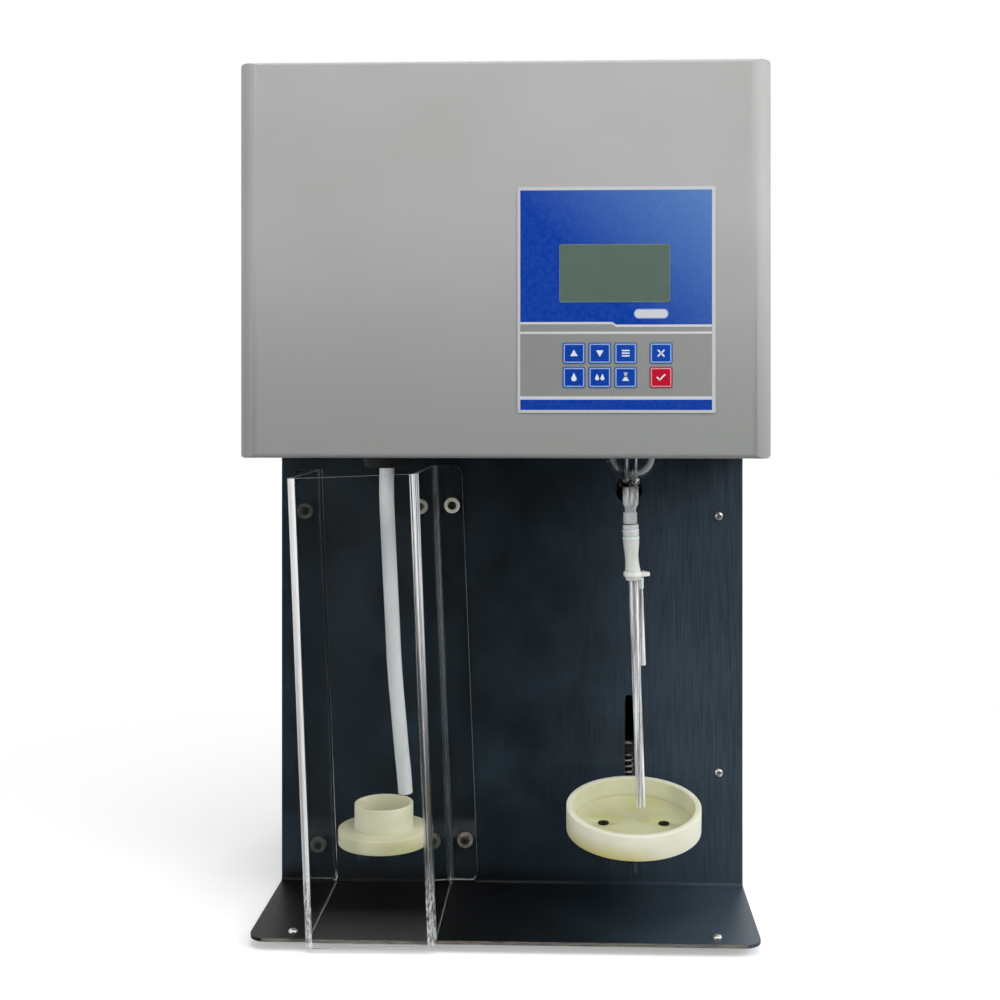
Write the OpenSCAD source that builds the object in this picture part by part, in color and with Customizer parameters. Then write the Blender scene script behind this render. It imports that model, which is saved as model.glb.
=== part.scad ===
// Bench nitrogen distillation analyser: a light grey lift-off hood over a black panel and base,
// a digestion tube place behind a clear guard on the left, a condenser outlet over a sprung
// receiving tray on the right, and the steam, dosing and power parts in the cabinet behind.
// Millimetres. X to the right, Y to the rear, Z up. The origin is under the feet, at the middle.

/* [Overall] */
// Depth from the guard's front face to the tips of the rear nozzles
overall_d = 401; // [396:1:420]
// Height of the rubber feet
foot_h = 8; // [7:0.5:12]
// Length that the rear nozzles stand out of the rear cover
nozzle_out = 20.5; // [18:0.5:24]

/* [Panel and base] */
// Width of the front panel and the base plate
panel_w = 429; // [425:1:440]
// Thickness of the bent panel and base sheet
plate_t = 3; // [2.5:0.25:3.5]
// Depth of the base plate in front of the panel
base_d = 136; // [130:1:140]
// Radius of the base plate's front corners
plate_corner_r = 15; // [8:1:20]
// Height of the cabinet's top above the underside of the base plate
cabinet_h = 462; // [458:1:470]
// Thickness of the cabinet's sheet covers
sheet_t = 1.5; // [1.2:0.1:2]
// Distance of the front foot screws behind the base plate's front edge
foot_screw_in = 14.6; // [12:0.2:18]
// Distance of the foot screws from the base plate's sides
foot_screw_side = 36; // [25:1:50]
// Radius of the hole in the panel behind the condenser outlet
panel_hole_r = 12.5; // [8:0.5:14]

/* [Hood] */
// Gap between the cabinet's sides and the hood
hood_gap = 4.75; // [3.5:0.25:6]
// Wall of the hood
hood_wall = 4; // [3.5:0.25:5]
// Height of the hood
hood_h = 330.5; // [328:0.5:342]
// Height of the hood's lower edge above the underside of the base plate
hood_rise = 403.8; // [402:0.2:406]
// Radius of the hood's upright corners
hood_corner_r = 19; // [14:1:20]
// Radius of the hood's top edges
hood_top_r = 3.5; // [2:0.5:6]
// Radius of the hood's lower corners
hood_low_r = 5; // [3:1:8]

/* [Keypad and display] */
// Width of the printed overlay
overlay_w = 163.5; // [158:0.5:166]
// Height of the printed overlay
overlay_h = 187; // [180:1:195]
// Distance of the overlay's left edge from the middle of the hood
overlay_x = 12; // [10:0.1:16]
// Height of the overlay's lower edge above the hood's lower edge
overlay_rise = 37.9; // [34:0.1:42]
// Thickness of the overlay
overlay_t = 0.8; // [0.6:0.1:1.2]
// Width of a key
key_w = 18.4; // [16:0.1:19]
// Height of a key
key_h = 17.1; // [15:0.1:18]
// Distance that a key stands proud of the overlay
key_proud = 0.5; // [0.5:0.1:1]
// Distance that a key travels
key_travel = 0.4; // [0.3:0.05:0.5]
// Width of the display window
lcd_w = 91.3; // [85:0.1:94]
// Height of the display window
lcd_h = 47.9; // [44:0.1:52]

/* [Guard] */
// Width of the guard over its side walls
guard_w = 110; // [106:1:114]
// Height of the guard
guard_h = 391; // [386:1:394]
// Thickness of the guard's clear sheet
guard_t = 4; // [3.5:0.25:5]
// Width over the guard's two flanges
guard_flange_w = 160; // [154:1:166]
// Angle that the guard leans to the left
guard_tilt = 2.25; // [0:0.25:2.5]
// Distance of the guard's middle from the middle of the instrument
guard_x = 118; // [116:0.5:119]
// Distance between the left and right guard screws
guard_screw_w = 140; // [138:1:143]
// Distance between the upper and lower guard screws
guard_screw_h = 310.5; // [305:0.5:316]

/* [Tube holder] */
// Distance of the digestion tube's axis from the middle of the instrument
tube_x = 106; // [105:0.5:108]
// Distance of the tube holder's axis from the middle of the instrument
holder_x = 108.4; // [107:0.1:110]
// Radius of the holder's flange
holder_flange_r = 40; // [37:0.5:41]
// Thickness of the holder's flange
holder_flange_t = 12.4; // [10:0.2:14]
// Outer radius of the holder's collar
collar_r = 25.7; // [25:0.1:28]
// Inner radius of the holder's collar
collar_bore_r = 23; // [21.5:0.1:23.5]
// Height of the holder's collar
collar_h = 21.7; // [18:0.1:21.7]
// Height of the holder's underside above the underside of the base plate
holder_rise = 64; // [62:0.5:64]
// Distance that the holder can be pressed down
holder_travel = 18; // [10:1:18]

/* [Receiving tray] */
// Distance of the tray's axis from the middle of the instrument
tray_x = 111; // [108:0.5:112]
// Outer diameter of the tray
tray_d = 118; // [110:1:120]
// Height of the tray
tray_h = 22; // [18:0.5:22]
// Wall of the tray
tray_wall = 5.5; // [4:0.25:7]
// Floor of the tray
tray_floor = 5; // [4.5:0.25:7]
// Angle that the tray leans forward
tray_lean = 9; // [6:0.5:9]
// Height of the middle of the tray's underside above the underside of the base plate
tray_rise = 76; // [74:0.5:76]
// Distance between the tray's two screws
tray_screw_w = 53; // [46:1:60]
// Distance that the tray can be pressed down
tray_travel = 30; // [20:1:30]
// Thickness of the tray arm's upright web
web_t = 2; // [1.5:0.25:3]

/* [Lift guides] */
// Distance of the tray's slot from the middle of the instrument
tray_slot_x = 110; // [108:0.5:111]
// Width of the slots in the panel
slot_w = 8; // [7:0.5:9]
// Radius of the guide rods
rod_r = 4; // [3.5:0.25:5]
// Distance of the guide rods behind the panel's rear face
rod_back = 23; // [22.5:0.5:26]
// Radial clearance of a slider on its rod
running_gap = 0.05; // [0.03:0.01:0.08]

/* [Condenser and outlet] */
// Distance of the condenser's axis from the middle of the instrument
condenser_x = 108.3; // [106:0.1:110]
// Distance of the glassware in front of the panel
glass_out = 70; // [68:1:72]
// Outer radius of the condenser's jacket
jacket_r = 23; // [20:0.5:24]
// Wall of the glassware
glass_t = 1.8; // [1.5:0.1:2.2]
// Outer radius of the condenser's inner tube
inner_r = 7; // [6:0.25:8]
// Outer radius of the delivery tube
delivery_r = 4; // [3:0.25:4.4]
// Length of the delivery tube
delivery_l = 208.3; // [180:0.1:209]
// Angle that the delivery tube hangs from upright
delivery_lean = 1.93; // [0:0.01:2.5]

/* [Cabinet parts] */
// Radius of the boiler
boiler_r = 62; // [50:1:66]
// Height of the boiler's shell
boiler_h = 214; // [180:1:230]
// Radius of a dosing pump's head
pump_r = 30; // [28:1:32]
// Side of the square fan
fan_w = 80; // [70:1:80]

/* [Hidden] */
$fn = 48;

// Gaps: seat is left between pieces that rest on each other, screw round a screw in its hole
seat = 0.3;
screw_gap = 0.3;

// Depth positions, front to rear
guard_front = -overall_d / 2;
guard_gap = 0.5;
plate_front = guard_front + guard_t + guard_gap;
panel_y = plate_front + base_d;
panel_back = panel_y + plate_t;
rear_y = overall_d / 2 - nozzle_out;
rear_t = 1.6;
rear_in = rear_y - rear_t;
glass_y = panel_y - glass_out;
half_w = panel_w / 2;
side_in = half_w - sheet_t;

// Screws: all case screws are one size
screw_r = 2;
head_r = 4;
head_t = 2.4;
foot_screw_x = half_w - foot_screw_side;
foot_screw_y = plate_front + foot_screw_in;
rear_foot_y = rear_y - 30;
flange_screw_x = half_w - 22;
panel_screw_z = [107, 344.6];
rear_screw_z = [30, 220, 395];
shelf_screw_x = [54.5 - half_w, 0, half_w - 54.5];

// Sheet metal
bend_r = 3;
pan_t = 2;
flange_w = 28;
rear_flange_w = 20;
rear_screw_x = half_w - 10;
cover_gap = 0.2;
cable_y = panel_back + 57;
pan_lip = 14;
flange_y = panel_back + 0.1;
panel_top = cabinet_h - sheet_t - seat;
shelf_z = 410;
shelf_t = 3;
shelf_half = half_w - 24.5;
shelf_front = plate_front + 12;
shelf_flange_top = shelf_z + shelf_t + 11;
shelf_screw_z = shelf_z + 8;

// Hood
hood_half = half_w + hood_gap + hood_wall;
hood_rear_gap = 5;
hood_back = rear_y + hood_rear_gap + hood_wall;
hood_top = hood_rise + hood_h;
hood_in_y = plate_front + hood_wall;

// Keypad: left edges of the four columns and lower edges of the two rows
overlay_z = hood_rise + overlay_rise;
overlay_y = plate_front - overlay_t;
key_col = overlay_x + 37.5;
key_cols = [key_col, key_col + 21.35, key_col + 42.7, key_col + 71.9];
key_rows = [overlay_z + 40.8, overlay_z + 20.8];
key_gap = 0.25;
key_r = 2;
key_front = overlay_y - key_proud;
key_cap_t = 1.8;
plunger_half = 3;
dome_gap = 0.8;
lcd_x = overlay_x + 34.75;
lcd_z = overlay_z + 91.6;
lcd_corner_r = 1.7;
board_t = 1.6;
board_y = hood_in_y + 4.3;

// Guard
guard_z = hood_rise - 210.3;
guard_back = panel_y - cover_gap;
guard_bend_r = 7;
guard_low_gap = 0.5;
guard_screw_z = 2.75;
washer_r = 7.25;
washer_t = 3;
socket_r = 3.5;

// Lift mechanisms
rod_y = panel_back + rod_back;
slider_half = 11;
slider_front = panel_back + 2;
slider_back = rod_y + 10;
ear_t = 4;
ear_half = 14;
spine_t = 2;
holder_web_z = holder_rise - 14;
holder_slider_z = holder_rise - 16;
holder_slider_h = 26;
holder_slot_low = holder_web_z - holder_travel - 2;
holder_slot_top = holder_rise + 18;
holder_ear_low = holder_slider_z - 40;
tray_web_z = tray_rise - 19.4;
tray_slider_h = 27.5;
tray_slot_low = tray_web_z - tray_travel - 4.6;
tray_slot_top = tray_rise + 102.4;
tray_ear_low = tray_web_z - 44.5;
tray_ear_top = tray_web_z + tray_slider_h + 39.5;
stop_h = 6;
tray_y = glass_y + 3.4;
prong_half = 4.5;
prong_x = 13;
prong_t = 4.7;
peg_r = 3;
peg_h = 5;

// Springs: radius of the coil's centre line, radius of the wire, turns
tray_spring_r = 4.2;
tray_wire_r = 0.6;
tray_turns = 7;
tray_spring_y = panel_back + 7.5;
holder_spring_r = 5.8;
holder_wire_r = 0.8;
holder_turns = 6;

// Glassware heights
jacket_low = shelf_z - 6.5;
jacket_high = jacket_low + 236.5;
jacket_arm_z = [jacket_low + 33.5, jacket_high - 18];
arm_r = 4.4;
hose_r = 6;
hose_bore = 4.5;
stem_r = 6;
stopper_z = shelf_z - 17;
arm_z = shelf_z + 18;
steam_r = 6.5;
tube_top = jacket_high + 50;
vapour_z = tube_top + 10;
barrel_top = jacket_low - 28.5;
barrel_low = barrel_top - 14;
nipple_r = 4.85;
nipple_low = barrel_low - 24;
outlet_hose_z = [barrel_low - 17, barrel_low - 6.9];
delivery_tip = [tray_x + 6.3, tray_rise + 19.8];
delivery_in = 9.4;
sleeve_top = [condenser_x - 0.4, outlet_hose_z[0] - 0.8];
sleeve_low = [
  delivery_tip[0] - delivery_l * sin(delivery_lean) + 0.4,
  delivery_tip[1] + delivery_l * cos(delivery_lean) - delivery_in
];
tie_z = sleeve_low[1] + 5.3;
tie_x = sleeve_low[0] - 0.3;

// The hose that hangs from the stopper: its centre line, from the stopper to its open end
steam_hose_r = 6.5;
steam_hose_points = [
  [-106, -130, 393], [-106, -130, 366], [-105, -129, 338], [-104, -127, 310], [-103, -124.5, 282],
  [-102, -122, 254], [-101, -120, 226], [-99.5, -117, 198], [-97.5, -114, 170],
  [-95.5, -111, 142], [-93.5, -107.5, 117], [-92.5, -105.8, 99.8]
];

// Cabinet parts
boiler_y = slider_back + 94;
leg_h = 24;
lid_t = 6;
boiler_top = pan_t + leg_h + boiler_h;
pump_z = cabinet_h - 92;
pump_x = [-12, 62];
bracket_y = panel_back + 97;
bracket_t = 2;
motor_r = 18;
motor_l = 52;
shaft_r = 3;
cavity_r = 24;
roller_r = 6;
feed_z = 110;
acid_x = condenser_x + 2.2;
acid_y = glass_y + 13;
acid_r = 2;
acid_drop_x = tie_x + 7;
acid_drop_z = tie_z - 14.4;
fan_x = side_in - 63;
fan_z = 222;
fan_t = 25;
fan_bore = fan_w / 2 - 3;
nozzle_r = 4.5;
nozzle_places = [
  [condenser_x, fan_z + 100], [condenser_x + 31.7, fan_z + 130], [pump_x[0] - 28, feed_z],
  [pump_x[0], feed_z], [pump_x[1], feed_z], [pump_x[0] + 37, feed_z]
];
entry_x = 53 - side_in;
entry_z = 72;
rocker_z = entry_z + 18;
rocker_rest = 8;
valve_x = [-24, 14, 52];
valve_y = rear_y - 56;
supply_x = [side_in - 113, side_in - 13];
supply_y = [slider_back + 6, rear_foot_y - 8];
supply_h = 44;
power_board_y = [panel_back + 37, rear_y - 30];
power_board_z = [120, 280];

// Shapes used by several sub-parts

module slab(x, y, z)
  translate([x[0], y[0], z[0]])
    cube([x[1] - x[0], y[1] - y[0], z[1] - z[0]]);

module disc_z(x, y, r, z)
  translate([x, y, z[0]])
    cylinder(r = r, h = z[1] - z[0]);

module disc_y(x, z, r, y)
  translate([x, y[0], z])
    rotate([-90, 0, 0])
      cylinder(r = r, h = y[1] - y[0]);

// Extrudes an outline drawn in X and Z along Y
module along_y(y)
  translate([0, y[1], 0])
    rotate([90, 0, 0])
      linear_extrude(y[1] - y[0])
        children();

// Extrudes an outline drawn in Y and Z along X
module along_x(x)
  translate([x[0], 0, 0])
    rotate([90, 0, 90])
      linear_extrude(x[1] - x[0])
        children();

module round_rect(low, high, r) {
  translate([low[0] + r, low[1]])
    square([high[0] - low[0] - 2 * r, high[1] - low[1]]);
  translate([low[0], low[1] + r])
    square([high[0] - low[0], high[1] - low[1] - 2 * r]);
  for (x = [low[0] + r, high[0] - r], y = [low[1] + r, high[1] - r])
    translate([x, y])
      circle(r);
}

// What a quarter-round corner of radius r at the origin takes away or fills in
module corner(r)
  difference() {
    square(r);
    translate([r, r])
      circle(r);
  }

function unit(v) = v / norm(v);

// Places a shape drawn along Z at a point, turned to run along direction d
module aimed(at, d) {
  u = abs(d[2]) > 0.5 ? [1, 0, 0] : [0, 0, 1];
  v = cross(d, u);
  multmatrix([[u[0], v[0], d[0], at[0]], [u[1], v[1], d[1], at[1]], [u[2], v[2], d[2], at[2]]])
    children();
}

// Round bar along points joined by square turns, each an elbow of radius bend
module run(points, r, bend) {
  last = len(points) - 1;
  for (i = [0:last - 1]) {
    d = unit(points[i + 1] - points[i]);
    from = points[i] + (i > 0 ? bend : 0) * d;
    to = points[i + 1] - (i < last - 1 ? bend : 0) * d;
    aimed(from, d)
      cylinder(r = r, h = norm(to - from));
  }
  if (last > 1)
    for (i = [1:last - 1]) {
      a = unit(points[i] - points[i - 1]);
      b = unit(points[i + 1] - points[i]);
      c = points[i] + bend * (b - a);
      n = cross(-b, a);
      multmatrix([[-b[0], a[0], n[0], c[0]], [-b[1], a[1], n[1], c[1]], [-b[2], a[2], n[2], c[2]]])
        rotate_extrude(angle = 90)
          translate([bend, 0])
            circle(r);
    }
}

// The same route with both ends lengthened by e, for cutting a bore
function longer(points, e) = let (last = len(points) - 1) [
  for (i = [0:last])
    i == 0 ? points[0] - e * unit(points[1] - points[0])
    : i == last ? points[last] + e * unit(points[last] - points[last - 1])
    : points[i]
];

module pipe(points, r, bore, bend)
  difference() {
    run(points, r, bend);
    run(longer(points, 1), bore, bend);
  }

// Button-head screw along +Z, its head's underside at the origin and its shank below
module screw(length) {
  disc_z(0, 0, head_r, [0, head_t * 0.6]);
  translate([0, 0, head_t * 0.6])
    cylinder(r1 = head_r, r2 = head_r * 0.6, h = head_t * 0.4);
  disc_z(0, 0, screw_r, [-length, 0]);
}

// Faces of a tube of n rings with s sides each, as triangles
function tube_faces(n, s) = concat(
  [for (i = [0:n - 2], j = [0:s - 1]) [i * s + j, i * s + (j + 1) % s, (i + 1) * s + j]],
  [for (i = [0:n - 2], j = [0:s - 1]) [i * s + (j + 1) % s, (i + 1) * s + (j + 1) % s, (i + 1) * s + j]],
  [for (j = [1:s - 2]) [0, j + 1, j]],
  [for (j = [1:s - 2]) [(n - 1) * s, (n - 1) * s + j, (n - 1) * s + j + 1]]
);

// Helical spring: its rings' centres, then its body between two heights
function coil_centres(r, z, turns, rings) = [
  for (i = [0:turns * rings])
    [r * cos(360 * i / rings), r * sin(360 * i / rings), z[0] + (z[1] - z[0]) * i / (turns * rings)]
];

function coil_gap(r, wire, z, turns, rings) = let (c = coil_centres(r, z, turns, rings)) min([
  for (i = [0:len(c) - 1], j = [i + 1:len(c) - 1])
    if (j - i >= rings - 1) norm(c[i] - c[j]) - 2 * wire
]);

module coil(r, wire, z, turns, rings, sides) {
  inner = [z[0] + wire, z[1] - wire];
  centres = coil_centres(r, inner, turns, rings);
  points = [
    for (i = [0:len(centres) - 1], j = [0:sides - 1])
      let (out = unit([centres[i][0], centres[i][1], 0]), a = -360 * j / sides)
        centres[i] + wire * (cos(a) * out + sin(a) * [0, 0, 1])
  ];
  polyhedron(points, tube_faces(len(centres), sides));
}

// Tube swept along hand-chosen points, each ring square to the route
module swept(points, r, sides) {
  last = len(points) - 1;
  ring_points = [
    for (i = [0:last])
      let (
        t = unit(points[min(i + 1, last)] - points[max(i - 1, 0)]),
        u = unit(cross(t, [0, 1, 0])),
        v = cross(t, u)
      )
        for (j = [0:sides - 1])
          let (a = 360 * j / sides)
            points[i] + r * (cos(a) * u + sin(a) * v)
  ];
  polyhedron(ring_points, tube_faces(last + 1, sides));
}

// Panel, base and cabinet

module at_guard()
  translate([-guard_x, 0, guard_z])
    rotate([0, -guard_tilt, 0])
      children();

module each_guard_screw()
  at_guard()
    for (x = [-1, 1] * guard_screw_w / 2, z = [-1, 1] * guard_screw_h / 2)
      translate([x, 0, z + guard_screw_z])
        children();

module slot(x, low, top)
  along_y([panel_y - 1, panel_back + 1])
    round_rect([x - slot_w / 2, low], [x + slot_w / 2, top], slot_w / 2 - 0.01);

module base_panel()
  color("#24282e")
    difference() {
      intersection() {
        along_x([-half_w, half_w])
          difference() {
            union() {
              translate([plate_front, 0])
                square([base_d + plate_t, plate_t]);
              translate([panel_y, 0])
                square([plate_t, panel_top]);
              translate([panel_y, plate_t])
                mirror([1, 0])
                  corner(bend_r);
            }
            translate([panel_back, 0])
              mirror([1, 0])
                corner(bend_r + plate_t);
          }
        linear_extrude(panel_top + 1)
          round_rect([-half_w, plate_front], [half_w, panel_back + 40], plate_corner_r);
      }
      slot(tray_slot_x, tray_slot_low, tray_slot_top);
      slot(-holder_x, holder_slot_low, holder_slot_top);
      disc_y(acid_x - 1, pump_z - 1.5, panel_hole_r, [panel_y - 1, panel_back + 1]);
      disc_y(-tube_x, arm_z, steam_r + 1.5, [panel_y - 1, panel_back + 1]);
      disc_y(-75, arm_z, 4.5, [panel_y - 1, panel_back + 1]);
      disc_y(condenser_x, jacket_arm_z[0], hose_r + 1.5, [panel_y - 1, panel_back + 1]);
      each_guard_screw()
        disc_y(0, 0, screw_r + screw_gap, [panel_y - 1, panel_back + 1]);
      for (z = panel_screw_z)
        disc_y(flange_screw_x, z, screw_r + screw_gap, [panel_y - 1, panel_back + 1]);
      for (x = shelf_screw_x)
        disc_y(x, shelf_screw_z, screw_r + screw_gap, [panel_y - 1, panel_back + 1]);
      for (x = [-1, 1] * foot_screw_x)
        disc_z(x, foot_screw_y, screw_r + screw_gap, [-1, plate_t + 1]);
    }

module floor_pan() {
  pan_x = side_in - cover_gap;
  pan_y = [panel_back + 0.5, rear_in - 2.4];
  color("#6d7175")
    difference() {
      union() {
        slab([-pan_x, pan_x], pan_y, [0, pan_t]);
        for (s = [-1, 1])
          translate([s * (pan_x - sheet_t / 2), 0, 0])
            slab([-sheet_t / 2, sheet_t / 2], pan_y, [0, pan_lip]);
        slab([-pan_x, pan_x], [pan_y[1] - sheet_t, pan_y[1]], [0, pan_lip]);
      }
      for (x = [-1, 1] * foot_screw_x)
        disc_z(x, rear_foot_y, screw_r + screw_gap, [-1, pan_t + 1]);
    }
}

module vents(x, z, rows, pitch, w, h)
  for (i = [0:rows - 1])
    translate([x - w / 2, z + i * pitch])
      square([w, h]);

module cabinet_cover() {
  cover_y = [flange_y, rear_in - cover_gap];
  color("#2b2f35")
    difference() {
      union() {
        slab([-half_w, half_w], cover_y, [cabinet_h - sheet_t, cabinet_h]);
        for (s = [-1, 1])
          mirror([s < 0 ? 1 : 0, 0, 0]) {
            slab([side_in, half_w], cover_y, [seat, cabinet_h]);
            slab([half_w - flange_w, half_w], [cover_y[0], cover_y[0] + sheet_t],
              [pan_lip + seat, cabinet_h - 4]);
            slab([half_w - rear_flange_w, half_w], [cover_y[1] - sheet_t, cover_y[1]],
              [pan_lip + seat, cabinet_h - 4]);
          }
      }
      for (x = [-1, 1] * (half_w - sheet_t / 2))
        along_x([x - 2, x + 2])
          vents(rear_in - 68.4, 60, 10, 12, 70, 5);
      slab([condenser_x - 28.3, condenser_x + 56.7], [panel_back + 12, cable_y],
        [cabinet_h - sheet_t - 1, cabinet_h + 1]);
      for (z = panel_screw_z)
        disc_y(flange_screw_x, z, screw_r + screw_gap, [cover_y[0] - 1, cover_y[0] + sheet_t + 1]);
      each_guard_screw()
        disc_y(0, 0, screw_r + screw_gap, [cover_y[0] - 1, cover_y[0] + sheet_t + 1]);
      for (x = [-1, 1] * rear_screw_x, z = rear_screw_z)
        disc_y(x, z, screw_r + screw_gap, [cover_y[1] - sheet_t - 1, cover_y[1] + 1]);
    }
}

module rear_cover()
  color("#2b2f35")
    difference() {
      slab([-side_in, side_in], [rear_in, rear_y], [12, cabinet_h - 4]);
      along_y([rear_in - 1, rear_y + 1])
        vents(-tube_x, 210, 12, 12, 120, 5);
      difference() {
        disc_y(fan_x, fan_z, fan_bore, [rear_in - 1, rear_y + 1]);
        for (i = [-3:3])
          slab([fan_x - fan_w / 2, fan_x + fan_w / 2], [rear_in - 2, rear_y + 2],
            [fan_z + i * 10 - 1.2, fan_z + i * 10 + 1.2]);
      }
      for (p = nozzle_places)
        disc_y(p[0], p[1], nozzle_r + screw_gap, [rear_in - 1, rear_y + 1]);
      slab([entry_x - 15, entry_x + 15], [rear_in - 1, rear_y + 1], [entry_z - 27, entry_z + 28]);
      for (x = [-1, 1] * rear_screw_x, z = rear_screw_z)
        disc_y(x, z, screw_r + screw_gap, [rear_in - 1, rear_y + 1]);
    }

module head_shelf()
  color("#3a3f45")
    difference() {
      union() {
        slab([-shelf_half, shelf_half], [shelf_front, panel_y - cover_gap], [shelf_z, shelf_z + shelf_t]);
        slab([-shelf_half, shelf_half], [panel_y - cover_gap - shelf_t, panel_y - cover_gap],
          [shelf_z, shelf_flange_top]);
      }
      disc_z(-tube_x, glass_y, stem_r + 2, [shelf_z - 1, shelf_z + shelf_t + 1]);
      disc_z(condenser_x, glass_y, jacket_r + 2.5, [shelf_z - 1, shelf_z + shelf_t + 1]);
      slab([-tube_x - 12, -68], [panel_y - 5, panel_y], [shelf_z + shelf_t + 0.1, shelf_flange_top + 1]);
      for (x = shelf_screw_x)
        disc_y(x, shelf_screw_z, screw_r + screw_gap, [panel_y - 5, panel_y]);
    }

module feet() {
  heel = [5.6, 34.4];
  toe = foot_h - 4.6;
  color("#1b1c1e")
    for (x = [-1, 1] * foot_screw_x, s = [1, -1])
      difference() {
        along_x([x - 9, x + 9])
          translate([s > 0 ? foot_screw_y : rear_foot_y, 0])
            scale([s, 1])
              polygon([
                [-heel[0], 0], [-heel[0], -toe], [-heel[0] + 12, -foot_h], [heel[1], -foot_h], [heel[1], 0]
              ]);
        disc_z(x, s > 0 ? foot_screw_y : rear_foot_y, screw_r + 0.1, [-4.6, 1]);
      }
}

module case_screws()
  color("#c9ccce") {
    for (x = [-1, 1] * foot_screw_x) {
      translate([x, foot_screw_y, plate_t])
        screw(plate_t + 4);
      translate([x, rear_foot_y, pan_t])
        screw(pan_t + 4);
    }
    for (z = panel_screw_z)
      translate([flange_screw_x, panel_y, z])
        rotate([90, 0, 0])
          screw(8);
    for (x = shelf_screw_x)
      translate([x, panel_y - cover_gap - shelf_t, shelf_screw_z])
        rotate([90, 0, 0])
          screw(10);
    for (x = [-1, 1] * rear_screw_x, z = rear_screw_z)
      translate([x, rear_y, z])
        rotate([-90, 0, 0])
          screw(8);
  }

// Glassware and hoses

module stopper()
  color("#151515")
    difference() {
      translate([-tube_x, glass_y, stopper_z])
        cylinder(r1 = 19, r2 = 22.5, h = shelf_z - 0.1 - stopper_z);
      disc_z(-tube_x, glass_y, stem_r + 0.1, [stopper_z + 5, shelf_z + 1]);
      disc_z(-tube_x, glass_y, 4, [stopper_z - 1, stopper_z + 6]);
    }

module splash_head() {
  bulb_r = 28;
  bulb_z = 470;
  socket_top = tube_top + 2;
  route = [
    [-tube_x, glass_y, stopper_z + 5.2], [-tube_x, glass_y, vapour_z], [condenser_x, glass_y, vapour_z],
    [condenser_x, glass_y, tube_top - 18]
  ];
  color("#dfe9ec", 0.5)
    difference() {
      union() {
        run(route, stem_r, 22 - inner_r);
        translate([-tube_x, glass_y, bulb_z])
          sphere(bulb_r);
        disc_y(-tube_x, arm_z, arm_r, [glass_y, glass_y + 27]);
        translate([-tube_x, glass_y, arm_z])
          rotate([0, 90, 0])
            cylinder(r = 3, h = 16);
        disc_z(condenser_x, glass_y, stem_r + 1.4, [tube_top - 18, tube_top - 4]);
      }
      run(longer(route, 1), stem_r - glass_t + 0.3, 22 - inner_r);
      translate([-tube_x, glass_y, bulb_z])
        sphere(bulb_r - glass_t);
      disc_y(-tube_x, arm_z, arm_r - 1.2, [glass_y, glass_y + 28]);
      translate([-tube_x, glass_y, arm_z])
        rotate([0, 90, 0])
          cylinder(r = 2, h = 17);
      disc_z(condenser_x, glass_y, 5.1, [tube_top - 19, tube_top - 4.5]);
    }
}

module steam_hose()
  color("#e8e8e4")
    swept(steam_hose_points, steam_hose_r, 10);

module condenser_jacket() {
  color("#dfe9ec", 0.5)
    difference() {
      union() {
        disc_z(condenser_x, glass_y, jacket_r, [jacket_low, jacket_high]);
        for (z = [jacket_low, jacket_high])
          translate([condenser_x, glass_y, z])
            sphere(jacket_r);
        disc_z(condenser_x, glass_y, inner_r + 2.5, [barrel_top + 1.5, jacket_low - jacket_r + 5]);
        for (z = jacket_arm_z)
          disc_y(condenser_x, z, arm_r, [glass_y + jacket_r - glass_t, glass_y + jacket_r + 20]);
      }
      disc_z(condenser_x, glass_y, jacket_r - glass_t, [jacket_low, jacket_high]);
      for (z = [jacket_low, jacket_high])
        translate([condenser_x, glass_y, z])
          sphere(jacket_r - glass_t);
      disc_z(condenser_x, glass_y, inner_r + 0.1, [barrel_top, jacket_low]);
      disc_z(condenser_x, glass_y, 5.1, [jacket_high, jacket_high + jacket_r + 1]);
      for (z = jacket_arm_z)
        disc_y(condenser_x, z, arm_r - 1.2, [glass_y + jacket_r - 4, glass_y + jacket_r + 21]);
    }
}

module condenser_tube() {
  bulbs = [450, 490, 530, 570, 610];
  bulb_r = 15;
  color("#dfe9ec", 0.5)
    translate([condenser_x, glass_y, 0])
      difference() {
        union() {
          disc_z(0, 0, inner_r, [barrel_low, bulbs[0]]);
          disc_z(0, 0, 5, [bulbs[0], tube_top - 5]);
          for (z = bulbs)
            translate([0, 0, z])
              sphere(bulb_r);
          translate([0, 0, barrel_low - 3])
            cylinder(r1 = nipple_r, r2 = inner_r, h = 3);
          disc_z(0, 0, nipple_r, [nipple_low, barrel_low]);
        }
        disc_z(0, 0, inner_r - glass_t, [barrel_low, bulbs[0]]);
        disc_z(0, 0, 5 - glass_t + 0.4, [bulbs[0], tube_top]);
        for (z = bulbs)
          translate([0, 0, z])
            sphere(bulb_r - glass_t);
        disc_z(0, 0, nipple_r - glass_t, [nipple_low - 1, barrel_low + 1]);
      }
}

module condenser_clamp() {
  clamp_z = shelf_z + shelf_t + 0.1;
  color("#2f3236")
    difference() {
      union() {
        disc_z(condenser_x, glass_y, jacket_r + 6, [clamp_z, clamp_z + 12]);
        disc_z(condenser_x, glass_y, jacket_r + 11, [clamp_z, clamp_z + 3]);
        slab([condenser_x - 8, condenser_x + 8], [glass_y - jacket_r - 16, glass_y - jacket_r - 1],
          [clamp_z, clamp_z + 12]);
      }
      disc_z(condenser_x, glass_y, jacket_r + 0.3, [clamp_z - 1, clamp_z + 13]);
      slab([condenser_x - 1.5, condenser_x + 1.5], [glass_y - jacket_r - 20, glass_y - jacket_r + 4],
        [clamp_z - 1, clamp_z + 13]);
      translate([condenser_x - 9, glass_y - jacket_r - 11, clamp_z + 7.5])
        rotate([0, 90, 0])
          cylinder(r = 2.1, h = 18);
    }
}

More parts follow.
